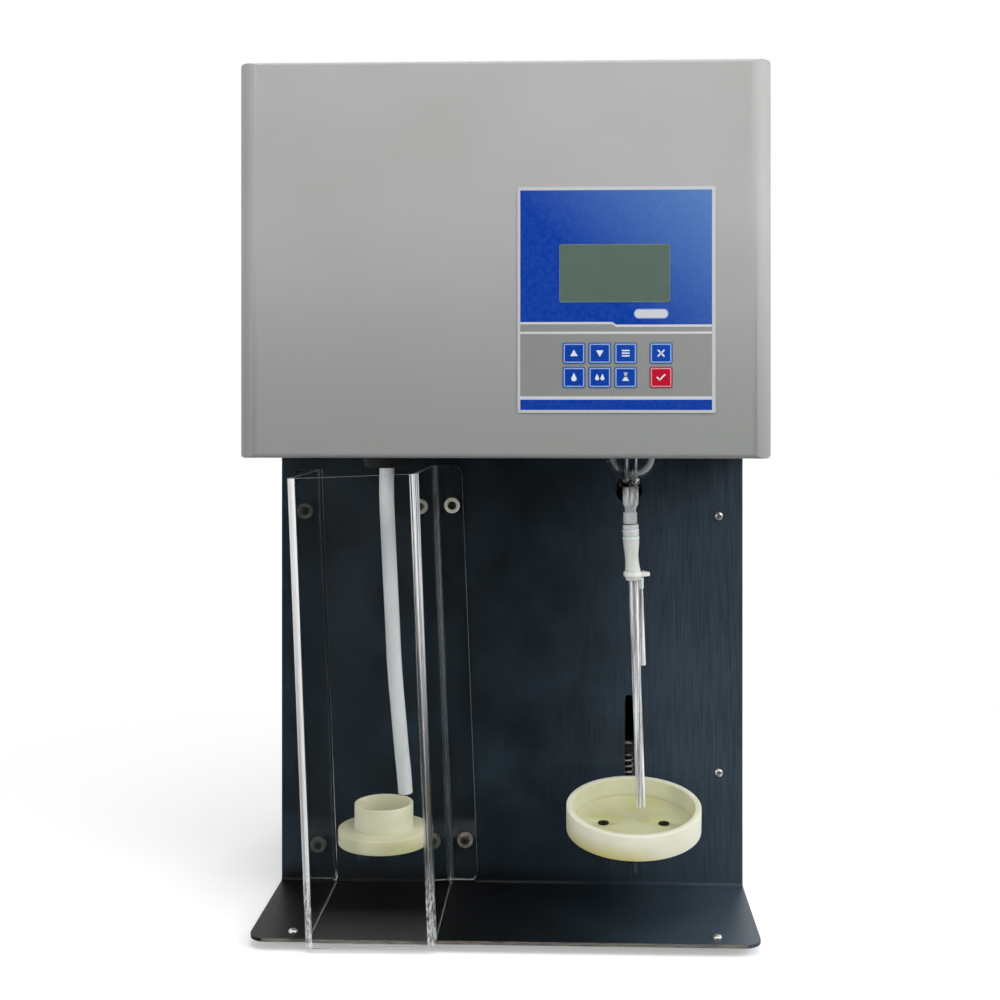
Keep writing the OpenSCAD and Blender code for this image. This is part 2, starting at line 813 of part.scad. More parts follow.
module outlet_hose()
  color("#dfe6e8", 0.6)
    difference() {
      disc_z(condenser_x - 0.4, glass_y, 6.1, outlet_hose_z);
      disc_z(condenser_x, glass_y, nipple_r + 0.1, [outlet_hose_z[0] - 1, outlet_hose_z[1] + 1]);
    }

// The sleeve hangs a little askew, so its profile is turned about its top
module outlet_sleeve() {
  drop = sleeve_top[1] - sleeve_low[1];
  shift = sleeve_low[0] - sleeve_top[0];
  length = norm([drop, shift]);
  part = length / 48.7;
  color("#e2ddc6")
    translate([sleeve_top[0], glass_y, sleeve_top[1]])
      rotate([0, -atan2(shift, drop), 0])
        rotate_extrude()
          polygon([
            [5.8, 0], [6.9, 0], [6.9, -4 * part], [7.7, -5 * part], [6.9, -6.2 * part], [6.9, -10 * part],
            [7.7, -11 * part], [6.9, -12.2 * part], [6.9, -19 * part], [5.9, -27 * part], [6, -33 * part],
            [6.8, -40 * part], [6.9, -length], [delivery_r + 0.6, -length], [delivery_r + 0.6, -30 * part],
            [5.8, -12 * part]
          ]);
}

module cable_tie()
  color("#ecebe4")
    difference() {
      union() {
        disc_z(tie_x, glass_y, 8.3, [tie_z - 2.3, tie_z + 2.3]);
        slab([tie_x + 7.1, tie_x + 12.6], [glass_y - 3, glass_y + 3], [tie_z - 2.3, tie_z + 2.3]);
        translate([tie_x, 0, tie_z])
          along_y([glass_y - 3, glass_y + 3])
            polygon([[12.6, -2.3], [14.6, -0.8], [14.6, 0.8], [12.6, 2.3]]);
      }
      disc_z(tie_x, glass_y, 7.4, [tie_z - 3, tie_z + 3]);
    }

module delivery_tube()
  color("#dfe9ec", 0.5)
    translate([delivery_tip[0], glass_y, delivery_tip[1]])
      rotate([0, -delivery_lean, 0])
        difference() {
          disc_z(0, 0, delivery_r, [0, delivery_l]);
          disc_z(0, 0, delivery_r - 1.3, [-1, delivery_l + 1]);
        }

module acid_tube() {
  color("#dfe9ec", 0.5)
    translate([acid_drop_x, acid_y, 0]) {
      difference() {
        disc_z(0, 0, 3, [acid_drop_z - 0.2, tie_z - 5]);
        disc_z(0, 0, acid_r + 0.1, [acid_drop_z - 1, tie_z]);
      }
      translate([0, 0, acid_drop_z - 0.2])
        rotate([0, -2, 0])
          difference() {
            disc_z(0, 0, 2.5, [-68, 0]);
            disc_z(0, 0, 1.5, [-69, 1]);
          }
    }
}

// Lift guides behind the panel

module guide(x, low, top)
  difference() {
    union() {
      for (z = [low, top])
        slab([x - ear_half, x + ear_half + 1.5], [panel_back, slider_back], [z, z + ear_t]);
      slab([x + ear_half + 1, x + ear_half + 1 + spine_t], [panel_back, slider_back], [low, top + ear_t]);
      slab([x + ear_half + 1, x + ear_half + 18], [panel_back, panel_back + spine_t], [low, top + ear_t]);
    }
    disc_z(x, rod_y, rod_r + 0.02, [low - 1, top + ear_t + 1]);
  }

module lift_guides()
  color("#33373c") {
    guide(-holder_x, holder_ear_low, holder_slider_z + holder_slider_h + seat);
    guide(tray_slot_x, tray_ear_low, tray_ear_top);
  }

module guide_rods()
  color("#8d9296") {
    disc_z(-holder_x, rod_y, rod_r, [holder_ear_low, holder_slider_z + holder_slider_h + seat + ear_t]);
    disc_z(tray_slot_x, rod_y, rod_r, [tray_ear_low, tray_ear_top + ear_t]);
    disc_z(tray_slot_x, rod_y, rod_r + 3,
      [tray_web_z + tray_slider_h + seat, tray_web_z + tray_slider_h + seat + stop_h]);
  }

tray_spring_z = [tray_web_z + tray_slider_h + seat, tray_ear_top - seat];
holder_spring_z = [holder_ear_low + ear_t + seat, holder_slider_z - seat];
echo("tray spring least gap", coil_gap(tray_spring_r, tray_wire_r, tray_spring_z, tray_turns, 8));
echo("holder spring least gap", coil_gap(holder_spring_r, holder_wire_r, holder_spring_z, holder_turns, 8));

module tray_spring()
  color("#b9bdc0")
    translate([tray_slot_x, tray_spring_y, 0])
      coil(tray_spring_r, tray_wire_r, tray_spring_z, tray_turns, 8, 6);

module holder_spring()
  color("#b9bdc0")
    translate([-holder_x, rod_y, 0])
      coil(holder_spring_r, holder_wire_r, holder_spring_z, holder_turns, 8, 6);

// Tube holder and its arm

module tube_holder() {
  top = holder_rise + holder_flange_t + collar_h;
  color("#dedbb6")
    difference() {
      union() {
        disc_z(-holder_x, glass_y, holder_flange_r, [holder_rise, holder_rise + holder_flange_t]);
        disc_z(-holder_x, glass_y, collar_r, [holder_rise, top]);
      }
      disc_z(-holder_x, glass_y, collar_bore_r, [holder_rise + 8, top + 1]);
      for (x = [-1, 1] * prong_x)
        disc_z(-holder_x + x, glass_y, peg_r + 0.1, [holder_rise - 1, holder_rise + peg_h + 0.5]);
    }
}

module holder_arm() {
  prong_z = [holder_rise - prong_t, holder_rise];
  cross_y = [panel_y - 24, panel_y - 15];
  color("#1d1f22")
    difference() {
      union() {
        for (x = [-1, 1] * prong_x) {
          slab([-holder_x + x - prong_half, -holder_x + x + prong_half], [glass_y - 37, cross_y[1]], prong_z);
          disc_z(-holder_x + x, glass_y, peg_r, [holder_rise - 1, holder_rise + peg_h]);
        }
        slab([-holder_x - prong_x, -holder_x + prong_x], cross_y, prong_z);
        slab([-holder_x - 1.5, -holder_x + 1.5], [cross_y[0], slider_front + 1], [holder_web_z, holder_rise]);
        slab([-holder_x - slider_half, -holder_x + slider_half], [slider_front, slider_back - 1],
          [holder_slider_z, holder_slider_z + holder_slider_h]);
      }
      disc_z(-holder_x, rod_y, rod_r + running_gap,
        [holder_slider_z - 1, holder_slider_z + holder_slider_h + 1]);
    }
}

// Receiving tray, drawn about the middle of its underside

module at_tray()
  translate([tray_x, tray_y, tray_rise])
    rotate([tray_lean, 0, 0])
      children();

module tray()
  color("#dedbb6")
    at_tray()
      difference() {
        cylinder(r = tray_d / 2, h = tray_h);
        translate([0, 0, tray_floor])
          cylinder(r = tray_d / 2 - tray_wall, h = tray_h);
        for (x = [-1, 1] * tray_screw_w / 2) {
          disc_z(x, 0, 2.7, [-1, tray_floor]);
          translate([x, 0, tray_floor - 2.6])
            cylinder(r1 = 2.7, r2 = 5.4, h = 2.7);
        }
      }

module tray_screws()
  color("#3c3a33")
    at_tray()
      for (x = [-1, 1] * tray_screw_w / 2)
        difference() {
          union() {
            disc_z(x, 0, 2.5, [-6, tray_floor - 1]);
            translate([x, 0, tray_floor - 2.5])
              cylinder(r1 = 2.5, r2 = 5, h = 2.5);
          }
          disc_z(x, 0, 1.6, [tray_floor - 1.8, tray_floor + 1]);
        }

module tray_arm() {
  web_front = tray_y - 56.4;
  web_top = tray_web_z + tray_slider_h - 0.2;
  under = tan(tray_lean);
  color("#1d1f22")
    difference() {
      union() {
        at_tray()
          slab([-40, 40], [-20, 20], [-2, -0.05]);
        along_x([tray_slot_x - web_t / 2, tray_slot_x + web_t / 2])
          polygon([
            [web_front, tray_web_z], [web_front, tray_rise + (web_front - tray_y) * under - 0.3],
            [tray_y + (web_top - tray_rise + 0.3) / under, web_top], [slider_front + 1, web_top],
            [slider_front + 1, tray_web_z]
          ]);
        slab([tray_slot_x - slider_half, tray_slot_x + slider_half], [slider_front, slider_back - 1],
          [tray_web_z, tray_web_z + tray_slider_h]);
      }
      disc_z(tray_slot_x, rod_y, rod_r + running_gap, [tray_web_z - 1, tray_web_z + tray_slider_h + 1]);
      at_tray()
        for (x = [-1, 1] * tray_screw_w / 2)
          disc_z(x, 0, 2.6, [-3, 1]);
    }
}

// Clear guard: a hat section, cut short at its sides and flanges to clear the base plate

module guard() {
  flange_half = guard_flange_w / 2;
  half = guard_w / 2;
  color("#e6f0f2", 0.35)
    difference() {
      at_guard()
        difference() {
          translate([0, 0, -guard_h / 2])
            linear_extrude(guard_h)
              difference() {
                union() {
                  intersection() {
                    round_rect([-half, guard_front], [half, guard_back + 20], guard_bend_r);
                    translate([-half, guard_front])
                      square([guard_w, guard_back - guard_front]);
                  }
                  translate([-flange_half, guard_back - guard_t])
                    square([guard_flange_w, guard_t]);
                  for (s = [0, 1])
                    mirror([s, 0])
                      translate([half, guard_back - guard_t])
                        mirror([0, 1])
                          corner(3);
                }
                round_rect([-half + guard_t, guard_front + guard_t], [half - guard_t, guard_back + 20],
                  guard_bend_r - guard_t);
              }
          along_y([guard_back - guard_t - 1, guard_back + 1])
            for (s = [0, 1])
              mirror([s, 0]) {
                translate([flange_half, guard_h / 2])
                  rotate(180)
                    corner(9);
                translate([flange_half, -guard_h / 2 + 4])
                  rotate(90)
                    corner(9);
              }
        }
      each_guard_screw()
        disc_y(0, 0, screw_r + screw_gap, [guard_back - guard_t - 1, guard_back + 1]);
      slab([-guard_x - 120, -guard_x + 120], [plate_front - 0.4, panel_back], [-30, plate_t + guard_low_gap]);
      slab([-guard_x - 120, -guard_x + 120], [panel_y - bend_r - 1.5, panel_back],
        [-30, plate_t + bend_r + guard_low_gap]);
    }
}

module guard_washers()
  color("#d8d4c4")
    each_guard_screw()
      difference() {
        disc_y(0, 0, washer_r, [guard_back - guard_t - washer_t, guard_back - guard_t]);
        disc_y(0, 0, screw_r + 0.1, [guard_back - guard_t - washer_t - 1, guard_back]);
        disc_y(0, 0, socket_r + 0.3, [guard_back - guard_t - washer_t - 1, guard_back - guard_t - 1]);
      }

module guard_screws()
  color("#55524a")
    each_guard_screw()
      difference() {
        union() {
          disc_y(0, 0, socket_r, [guard_back - guard_t - washer_t - 1.5, guard_back - guard_t - 1]);
          disc_y(0, 0, screw_r, [guard_back - guard_t - 2, panel_back + 6]);
        }
        translate([0, guard_back - guard_t - washer_t - 2.5, 0])
          rotate([-90, 0, 0])
            cylinder(r = 1.7, h = 2.5, $fn = 6);
      }

// Hood, keypad and display

// The hood's block, drawn in by g on every face but its open lower one
module hood_block(g, low) {
  half = hood_half - g;
  front = plate_front + g;
  back = hood_back - g;
  top = hood_top - g;
  mid = hood_rise + hood_h / 2;
  low_r = g > 0 ? 0.5 : hood_low_r;
  top_r = g > 0 ? 0.5 : hood_top_r;
  intersection() {
    translate([0, 0, low])
      linear_extrude(top - low)
        round_rect([-half, front], [half, back], hood_corner_r - g);
    along_y([front, back]) {
      round_rect([-half, mid], [half, top], top_r);
      round_rect([-half, low], [half, mid + 40], low_r);
    }
    along_x([-half, half]) {
      round_rect([front, mid], [back, top], top_r);
      round_rect([front, low], [back, mid + 40], low_r);
    }
  }
}

module key_window(x, z, grow)
  round_rect([x - grow, z - grow], [x + key_w + grow, z + key_h + grow], key_r);

module hood()
  color("#b3b4b1")
    difference() {
      union() {
        difference() {
          hood_block(0, hood_rise);
          hood_block(hood_wall, hood_rise - 20);
        }
        for (s = [-1, 1], y = [[-40, -10], [120, 150]])
          translate([s * (hood_half - 9), 0, 0])
            slab([-6.5, 6.5], y, [cabinet_h + seat, cabinet_h + 12]);
        for (x = [lcd_x - 12, lcd_x + lcd_w + 12], z = [key_rows[1] - 4, lcd_z + lcd_h + 4])
          disc_y(x, z, 4, [hood_in_y - 1, board_y - 0.1]);
      }
      along_y([plate_front - 1, hood_in_y + 0.5]) {
        round_rect([lcd_x - 0.2, lcd_z - 0.2], [lcd_x + lcd_w + 0.2, lcd_z + lcd_h + 0.2], lcd_corner_r);
        for (x = key_cols, z = key_rows)
          key_window(x, z, key_gap);
      }
      along_y([hood_back - hood_wall - 1, hood_back + 1])
        vents(0, hood_top - 90, 6, 11, 220, 5);
    }

module keypad_overlay()
  color("#2a5cab")
    along_y([overlay_y, plate_front])
      difference() {
        round_rect([overlay_x, overlay_z], [overlay_x + overlay_w, overlay_z + overlay_h], 1.5);
        round_rect([lcd_x - 0.2, lcd_z - 0.2], [lcd_x + lcd_w + 0.2, lcd_z + lcd_h + 0.2], lcd_corner_r);
        for (x = key_cols, z = key_rows)
          key_window(x, z, key_gap);
      }

module lcd_window()
  color("#56695f")
    along_y([overlay_y, overlay_y + 2])
      round_rect([lcd_x, lcd_z], [lcd_x + lcd_w, lcd_z + lcd_h], lcd_corner_r);

// Board with the display module in front of it and one contact dome behind each key
module control_board()
  color("#2d6b3f") {
    slab(
      [lcd_x + 1, lcd_x + lcd_w - 1], [overlay_y + 2 + seat, hood_in_y + 1], [lcd_z + 1, lcd_z + lcd_h - 1]
    );
    slab([lcd_x - 4, lcd_x + lcd_w + 4], [hood_in_y + seat, board_y], [lcd_z - 4, lcd_z + lcd_h - 3]);
    slab(
      [lcd_x - 17, lcd_x + lcd_w + 17], [board_y, board_y + board_t], [key_rows[1] - 9, lcd_z + lcd_h + 9]
    );
    for (x = key_cols, z = key_rows)
      disc_y(x + key_w / 2, z + key_h / 2, 3, [board_y - 2, board_y]);
    slab([lcd_x + 20, lcd_x + 55], [board_y + board_t, board_y + board_t + 9], [lcd_z - 20, lcd_z - 8]);
    slab([lcd_x + 15, lcd_x + 40], [board_y + board_t, board_y + board_t + 3], [lcd_z + 10, lcd_z + 35]);
  }

// Key cap in the overlay, with the plunger that reaches its contact on the board
module key(column, row, tint)
  color(tint) {
    x = key_cols[column];
    z = key_rows[row];
    along_y([key_front, key_front + key_cap_t])
      key_window(x, z, 0);
    translate([x + key_w / 2, 0, z + key_h / 2])
      slab([-plunger_half, plunger_half], [key_front + key_cap_t, board_y - 2 - dome_gap],
        [-plunger_half, plunger_half]);
  }

// Steam, cooling and dosing parts in the cabinet

module boiler() {
  top = boiler_top;
  low = pan_t + leg_h;
  color("#b5babd")
    translate([-tube_x, boiler_y, 0])
      difference() {
        union() {
          disc_z(0, 0, boiler_r, [low, top]);
          disc_z(0, 0, boiler_r + 5, [top, top + lid_t]);
          for (a = [30:120:270])
            rotate(a)
              disc_z(boiler_r - 12, 0, 6, [pan_t, low + 1]);
          disc_z(0, 0, arm_r, [top + lid_t, top + lid_t + 18]);
          disc_z(0, 0, 9, [top + lid_t, top + lid_t + 4]);
          disc_z(30, 20, 8, [top + lid_t, top + lid_t + 26]);
        }
        disc_z(0, 0, boiler_r - 2, [low + 2, top]);
        disc_z(0, 0, arm_r - 1.4, [top - 1, top + lid_t + 19]);
        for (x = [-36, -14])
          disc_z(x, -24, 4.1, [top - 1, top + lid_t + 1]);
      }
}

module heater()
  color("#c3c7ca")
    translate([-tube_x, boiler_y - 24, 0])
      run([
        [-36, 0, boiler_top + lid_t + 14], [-36, 0, pan_t + leg_h + 24], [-14, 0, pan_t + leg_h + 24],
        [-14, 0, boiler_top + lid_t + 14]
      ], 4, 9);

module steam_pipe()
  color("#d9d5c9")
    pipe([
      [-tube_x, glass_y + 14, arm_z], [-tube_x, boiler_y, arm_z], [-tube_x, boiler_y, boiler_top + lid_t + 5]
    ], steam_r, hose_bore, 20);

module cooling_hoses() {
  start = glass_y + jacket_r + 8;
  nozzle_end = rear_in - 10;
  color("#cfd8da", 0.7) {
    pipe([
      [condenser_x, start, jacket_arm_z[0]], [condenser_x, nozzle_end - 58.4, jacket_arm_z[0]],
      [condenser_x, nozzle_end - 58.4, nozzle_places[0][1]], [condenser_x, nozzle_end, nozzle_places[0][1]]
    ], hose_r, hose_bore + 0.1, 16);
    pipe([
      [condenser_x, start, jacket_arm_z[1]], [condenser_x, cable_y - 20, jacket_arm_z[1]],
      [nozzle_places[1][0], cable_y - 20, jacket_arm_z[1]],
      [nozzle_places[1][0], cable_y - 20, nozzle_places[1][1]],
      [nozzle_places[1][0], nozzle_end, nozzle_places[1][1]]
    ], hose_r, hose_bore + 0.1, 15);
  }
}

module dosing_hoses() {
  nozzle_end = rear_in - 10;
  line_y = bracket_y - 14;
  color("#d9dedf", 0.7) {
    for (x = pump_x)
      pipe([
        [x, nozzle_end, feed_z], [x, line_y, feed_z], [x, line_y, pump_z - pump_r - 1]
      ], hose_r, hose_bore + 0.1, 14);
    pipe([
      [pump_x[0] - pump_r - 1, line_y, pump_z], [-75, line_y, pump_z], [-75, line_y, arm_z],
      [-75, glass_y, arm_z], [-tube_x + 16.2, glass_y, arm_z]
    ], 3, 2, 8);
    pipe([
      [pump_x[1] + pump_r + 1, line_y, pump_z], [acid_x, line_y, pump_z], [acid_x, acid_y, pump_z],
      [acid_x, acid_y, tie_z + 1], [acid_drop_x, acid_y, tie_z + 1], [acid_drop_x, acid_y, acid_drop_z]
    ], acid_r, 1.1, 3.4);
  }
}

module pump_bracket() {
  plate_x = [pump_x[0] - 36, pump_x[1] + 34];
  plate_top = cabinet_h - sheet_t - 0.2;
  color("#4a4f55")
    difference() {
      union() {
        slab(plate_x, [bracket_y, bracket_y + bracket_t], [pump_z - 45, plate_top]);
        slab(plate_x, [bracket_y, bracket_y + 22], [plate_top - bracket_t, plate_top]);
      }
      for (x = pump_x)
        disc_y(x, pump_z, 5, [bracket_y - 1, bracket_y + bracket_t + 1]);
    }
}

module pump_heads()
  color("#3f4347")
    for (i = [0, 1])
      translate([pump_x[i], 0, pump_z])
        difference() {
          union() {
            disc_y(0, 0, pump_r, [bracket_y - 28, bracket_y]);
            disc_z(0, bracket_y - 14, 4, [-pump_r - 1, -pump_r + 4]);
            translate([i == 0 ? -pump_r - 1 : pump_r - 4, bracket_y - 14, 0])
              rotate([0, 90, 0])
                cylinder(r = 3, h = 5);
          }
          disc_y(0, 0, cavity_r, [bracket_y - 29, bracket_y - 3]);
          disc_y(0, 0, 5, [bracket_y - 4, bracket_y + 1]);
        }

module pump_motors()
  color("#8b9094")
    for (x = pump_x)
      difference() {
        union() {
          disc_y(x, pump_z, motor_r, [bracket_y + bracket_t, bracket_y + bracket_t + motor_l]);
          disc_y(x, pump_z, 5.5, [bracket_y + bracket_t + motor_l, bracket_y + bracket_t + motor_l + 4]);
        }
        disc_y(x, pump_z, shaft_r + running_gap, [bracket_y, bracket_y + bracket_t + 14]);
      }

// Three rollers on a hub, with the shaft that turns in the motor
module rotor(x)
  color("#c9c5b4")
    translate([x, 0, pump_z]) {
      disc_y(0, 0, 9, [bracket_y - 24, bracket_y - 5]);
      disc_y(0, 0, shaft_r, [bracket_y - 6, bracket_y + bracket_t + 12]);
      for (a = [90, 210, 330])
        rotate([0, a, 0]) {
          disc_y(13, 0, roller_r, [bracket_y - 21, bracket_y - 8]);
          slab([0, 16], [bracket_y - 24, bracket_y - 21], [-4, 4]);
          slab([0, 16], [bracket_y - 8, bracket_y - 5], [-4, 4]);
        }
    }

module valves()
  color("#a9894a")
    for (x = valve_x)
      translate([x, valve_y, pan_t]) {
        slab([-12, 12], [-20, 20], [0, 20]);
        slab([-11, 11], [-14, 14], [20, 48]);
        disc_z(0, 0, 7, [48, 54]);
        disc_y(0, 10, 4, [-32, 32]);
      }

module power_supply()
  color("#9aa0a4")
    difference() {
      slab(supply_x, supply_y, [pan_t, pan_t + supply_h]);
      for (x = [supply_x[0] + 15:14:supply_x[1] - 15], y = [supply_y[0] + 10:14:supply_y[1] - 10])
        disc_z(x, y, 3, [pan_t + supply_h - 4, pan_t + supply_h + 1]);
    }

module power_board() {
  face = side_in - 6;
  start = power_board_y[0];
  low = power_board_z[0];
  color("#2d6b3f") {
    slab([face - board_t, face], power_board_y, power_board_z);
    for (y = [start + 8, power_board_y[1] - 8], z = [low + 8, power_board_z[1] - 8])
      translate([face, y, z])
        rotate([0, 90, 0])
          cylinder(r = 3, h = 5.9);
    for (i = [0:3])
      slab([face - board_t - 16, face - board_t], [start + 20 + 32 * i, start + 39 + 32 * i],
        [low + 30, low + 56]);
    slab([face - board_t - 24, face - board_t], [start + 40, start + 120], [low + 85, low + 135]);
  }
}

module fan_frame() {
  fan_y = [rear_in - cover_gap - fan_t, rear_in - cover_gap];
  color("#1f2123") {
    difference() {
      slab([fan_x - fan_w / 2, fan_x + fan_w / 2], fan_y, [fan_z - fan_w / 2, fan_z + fan_w / 2]);
      disc_y(fan_x, fan_z, fan_bore, [fan_y[0] - 1, fan_y[1] + 1]);
    }
    disc_y(fan_x, fan_z, 16, [fan_y[0], fan_y[0] + 3]);
    translate([fan_x, 0, fan_z])
      for (a = [45:90:315])
        rotate([0, a, 0])
          slab([14, fan_bore + 1], [fan_y[0], fan_y[0] + 3], [-2, 2]);
    disc_y(fan_x, fan_z, 2, [fan_y[0] + 2, fan_y[0] + 16]);
  }
}

module fan_rotor() {
  fan_y = rear_in - cover_gap - fan_t;
  color("#2c2f32")
    translate([fan_x, fan_y, fan_z])
      difference() {
        union() {
          disc_y(0, 0, 15, [4, 20]);
          for (a = [0:60:300])
            rotate([0, a, 0])
              translate([12, 12, 0])
                rotate([32, 0, 0])
                  slab([0, fan_bore - 14], [-1, 1], [-9, 9]);
        }
        disc_y(0, 0, 2 + running_gap, [3, 17]);
      }
}

// Mains inlet with its fuse drawer below, and the switch's frame above, in one moulding
module power_entry()
  color("#1a1b1d")
    translate([entry_x, 0, entry_z]) {
      difference() {
        union() {
          slab([-18, 18], [rear_y, rear_y + 2.5], [-31, 32]);
          slab([-14.5, 14.5], [rear_y - 22, rear_y + 1], [-26, 27]);
        }
        slab([-12, 12], [rear_y - 14, rear_y + 3], [-14, 4]);
        slab([-10.5, 10.5], [rear_y - 9, rear_y + 3], [10.2, 25.8]);
        slab([-9, 9], [rear_y + 1.5, rear_y + 3], [-27, -18]);
      }
      for (p = [[-7, -7], [0, -3], [7, -7]])
        translate([p[0], 0, p[1]])
          slab([-1, 1], [rear_y - 15, rear_y - 2], [-2, 2]);
      translate([-11, rear_y - 2, 18])
        rotate([0, 90, 0])
          cylinder(r = 1, h = 22);
    }

module switch_rocker()
  color("#2a2c2f")
    translate([entry_x, rear_y - 2, rocker_z])
      rotate([rocker_rest, 0, 0])
        difference() {
          slab([-9.8, 9.8], [-2.5, 5], [-6.2, 6.2]);
          translate([-12, 0, 0])
            rotate([0, 90, 0])
              cylinder(r = 1 + running_gap, h = 24);
        }

module nozzles()
  color("#b08d4a")
    for (p = nozzle_places)
      difference() {
        union() {
          disc_y(p[0], p[1], nozzle_r, [rear_in - 12, overall_d / 2]);
          translate([p[0], rear_y, p[1]])
            rotate([-90, 0, 0])
              cylinder(r = 8, h = 4, $fn = 6);
          translate([p[0], rear_in - 4, p[1]])
            rotate([-90, 0, 0])
              cylinder(r = 8, h = 4, $fn = 6);
        }
        disc_y(p[0], p[1], nozzle_r - 1.5, [rear_in - 13, overall_d / 2 + 1]);
      }

// Every sub-part is drawn above the underside of the base plate, and the feet lift them all
module lifted()
  translate([0, 0, foot_h])
    children();

blue = "#1f4fb0";
lifted() base_panel();
lifted() floor_pan();
lifted() cabinet_cover();
lifted() rear_cover();
lifted() head_shelf();
lifted() feet();
lifted() case_screws();
lifted() stopper();
lifted() splash_head();
lifted() steam_hose();
lifted() condenser_jacket();
lifted() condenser_tube();
lifted() condenser_clamp();
lifted() outlet_hose();
lifted() outlet_sleeve();
lifted() cable_tie();
lifted() delivery_tube();
lifted() acid_tube();
lifted() lift_guides();
lifted() guide_rods();
lifted() tray_spring();
lifted() holder_spring();
lifted() boiler();
lifted() heater();
lifted() steam_pipe();
lifted() cooling_hoses();
lifted() dosing_hoses();
lifted() pump_bracket();
lifted() pump_heads();
lifted() pump_motors();
lifted() valves();
lifted() power_supply();
lifted() power_board();
lifted() fan_frame();
lifted() power_entry();
lifted() nozzles();
lifted() hood();
lifted() keypad_overlay();
lifted() lcd_window();
lifted() control_board();
lifted() key(0, 0, blue);  // key_up
lifted() key(1, 0, blue);  // key_down
lifted() key(2, 0, blue);  // key_function
lifted() key(3, 0, blue);  // key_cancel
lifted() key(0, 1, blue);  // key_acid
lifted() key(1, 1, blue);  // key_alkali
lifted() key(2, 1, blue);  // key_distil
lifted() key(3, 1, "#b02034");  // key_confirm
lifted() guard();
lifted() guard_screws();
lifted() guard_washers();
lifted() tray();
lifted() tray_screws();
lifted() tray_arm();
lifted() tube_holder();
lifted() holder_arm();
lifted() switch_rocker();
lifted() fan_rotor();
lifted() rotor(pump_x[0]);  // alkali_rotor
lifted() rotor(pump_x[1]);  // acid_rotor
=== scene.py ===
import math

import bmesh
import bpy
from mathutils import Matrix, Vector


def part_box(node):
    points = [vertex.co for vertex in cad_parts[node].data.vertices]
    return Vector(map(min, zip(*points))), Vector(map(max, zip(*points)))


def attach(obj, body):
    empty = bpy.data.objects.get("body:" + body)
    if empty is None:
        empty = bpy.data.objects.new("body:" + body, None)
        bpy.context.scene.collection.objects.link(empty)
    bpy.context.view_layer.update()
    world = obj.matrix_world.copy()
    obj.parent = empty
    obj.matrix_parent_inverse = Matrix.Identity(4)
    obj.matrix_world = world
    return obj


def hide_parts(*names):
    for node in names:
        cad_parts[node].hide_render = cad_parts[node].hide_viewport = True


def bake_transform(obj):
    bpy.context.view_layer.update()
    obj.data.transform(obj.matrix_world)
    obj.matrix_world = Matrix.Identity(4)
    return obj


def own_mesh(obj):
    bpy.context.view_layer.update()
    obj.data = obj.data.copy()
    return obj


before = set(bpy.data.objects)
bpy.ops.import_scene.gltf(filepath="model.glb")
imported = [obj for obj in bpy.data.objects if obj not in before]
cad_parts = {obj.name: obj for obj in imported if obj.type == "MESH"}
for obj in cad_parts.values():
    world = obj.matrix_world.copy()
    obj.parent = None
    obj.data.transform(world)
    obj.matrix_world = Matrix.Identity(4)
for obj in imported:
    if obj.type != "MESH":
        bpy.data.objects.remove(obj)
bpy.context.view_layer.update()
scene = bpy.context.scene
scene.view_settings.view_transform = "Standard"
mm = 0.001


# Camera: stands in front of the keypad at the height of the hood's lower edge, level, and its picture is
# shifted down and to the left so that the whole instrument is in it.
lens = bpy.data.cameras.new("camera")
lens.lens = 48.6
lens.sensor_width = 36
lens.shift_x = -0.0262
lens.shift_y = -0.105
lens.clip_start = 0.01
camera = bpy.data.objects.new("camera", lens)
camera.location = (59 * mm, -1314.5 * mm, 464.5 * mm)
camera.rotation_euler = (math.radians(90), 0, math.radians(2.04))
scene.collection.objects.link(camera)
scene.camera = camera


# Steam hose: white silicone hose, pushed on the stem below the stopper. It hangs free behind the guard
# and its open end rests against the collar of the tube holder.

# Colours are screen values of 0 to 255, turned into linear light here. Those of clear pieces are given as
# shares of light up to 1 and stay as they are.
def tone(colour):
    if max(colour) <= 1:
        return colour
    shares = [c / 255 for c in colour]
    return tuple(c / 12.92 if c <= 0.04045 else ((c + 0.055) / 1.055) ** 2.4 for c in shares)


# Waxy pieces scatter light under their skin: how much of it, and over how many metres
def new_finish(name, colour, rough, metal=0.0, waxy=(0.0, 0.05), **sockets):
    finish = bpy.data.materials.new(name)
    finish.use_nodes = True
    shader = finish.node_tree.nodes["Principled BSDF"]
    shader.inputs["Base Color"].default_value = (*tone(colour), 1)
    shader.inputs["Roughness"].default_value = rough
    shader.inputs["Metallic"].default_value = metal
    shader.inputs["Subsurface Weight"].default_value = waxy[0]
    shader.inputs["Subsurface Scale"].default_value = waxy[1]
    for key, value in sockets.items():
        shader.inputs[key.replace("_", " ")].default_value = value
    return finish


def add_node(tree, kind, sockets, **settings):
    made = tree.nodes.new("ShaderNode" + kind)
    for key, value in settings.items():
        setattr(made, key, value)
    for key, value in sockets.items():
        if isinstance(value, bpy.types.NodeSocket):
            tree.links.new(value, made.inputs[key])
        else:
            made.inputs[key].default_value = value
    return made


# A value is a node's socket, which knows its own node tree, so these helpers need no finish beside it
def feed(socket, value):
    value.id_data.links.new(value, value.id_data.nodes["Principled BSDF"].inputs[socket])


def own_place(finish):
    return add_node(finish.node_tree, "TexCoord", {}).outputs["Object"]


def split_axes(value):
    return add_node(value.id_data, "SeparateXYZ", {"Vector": value}).outputs


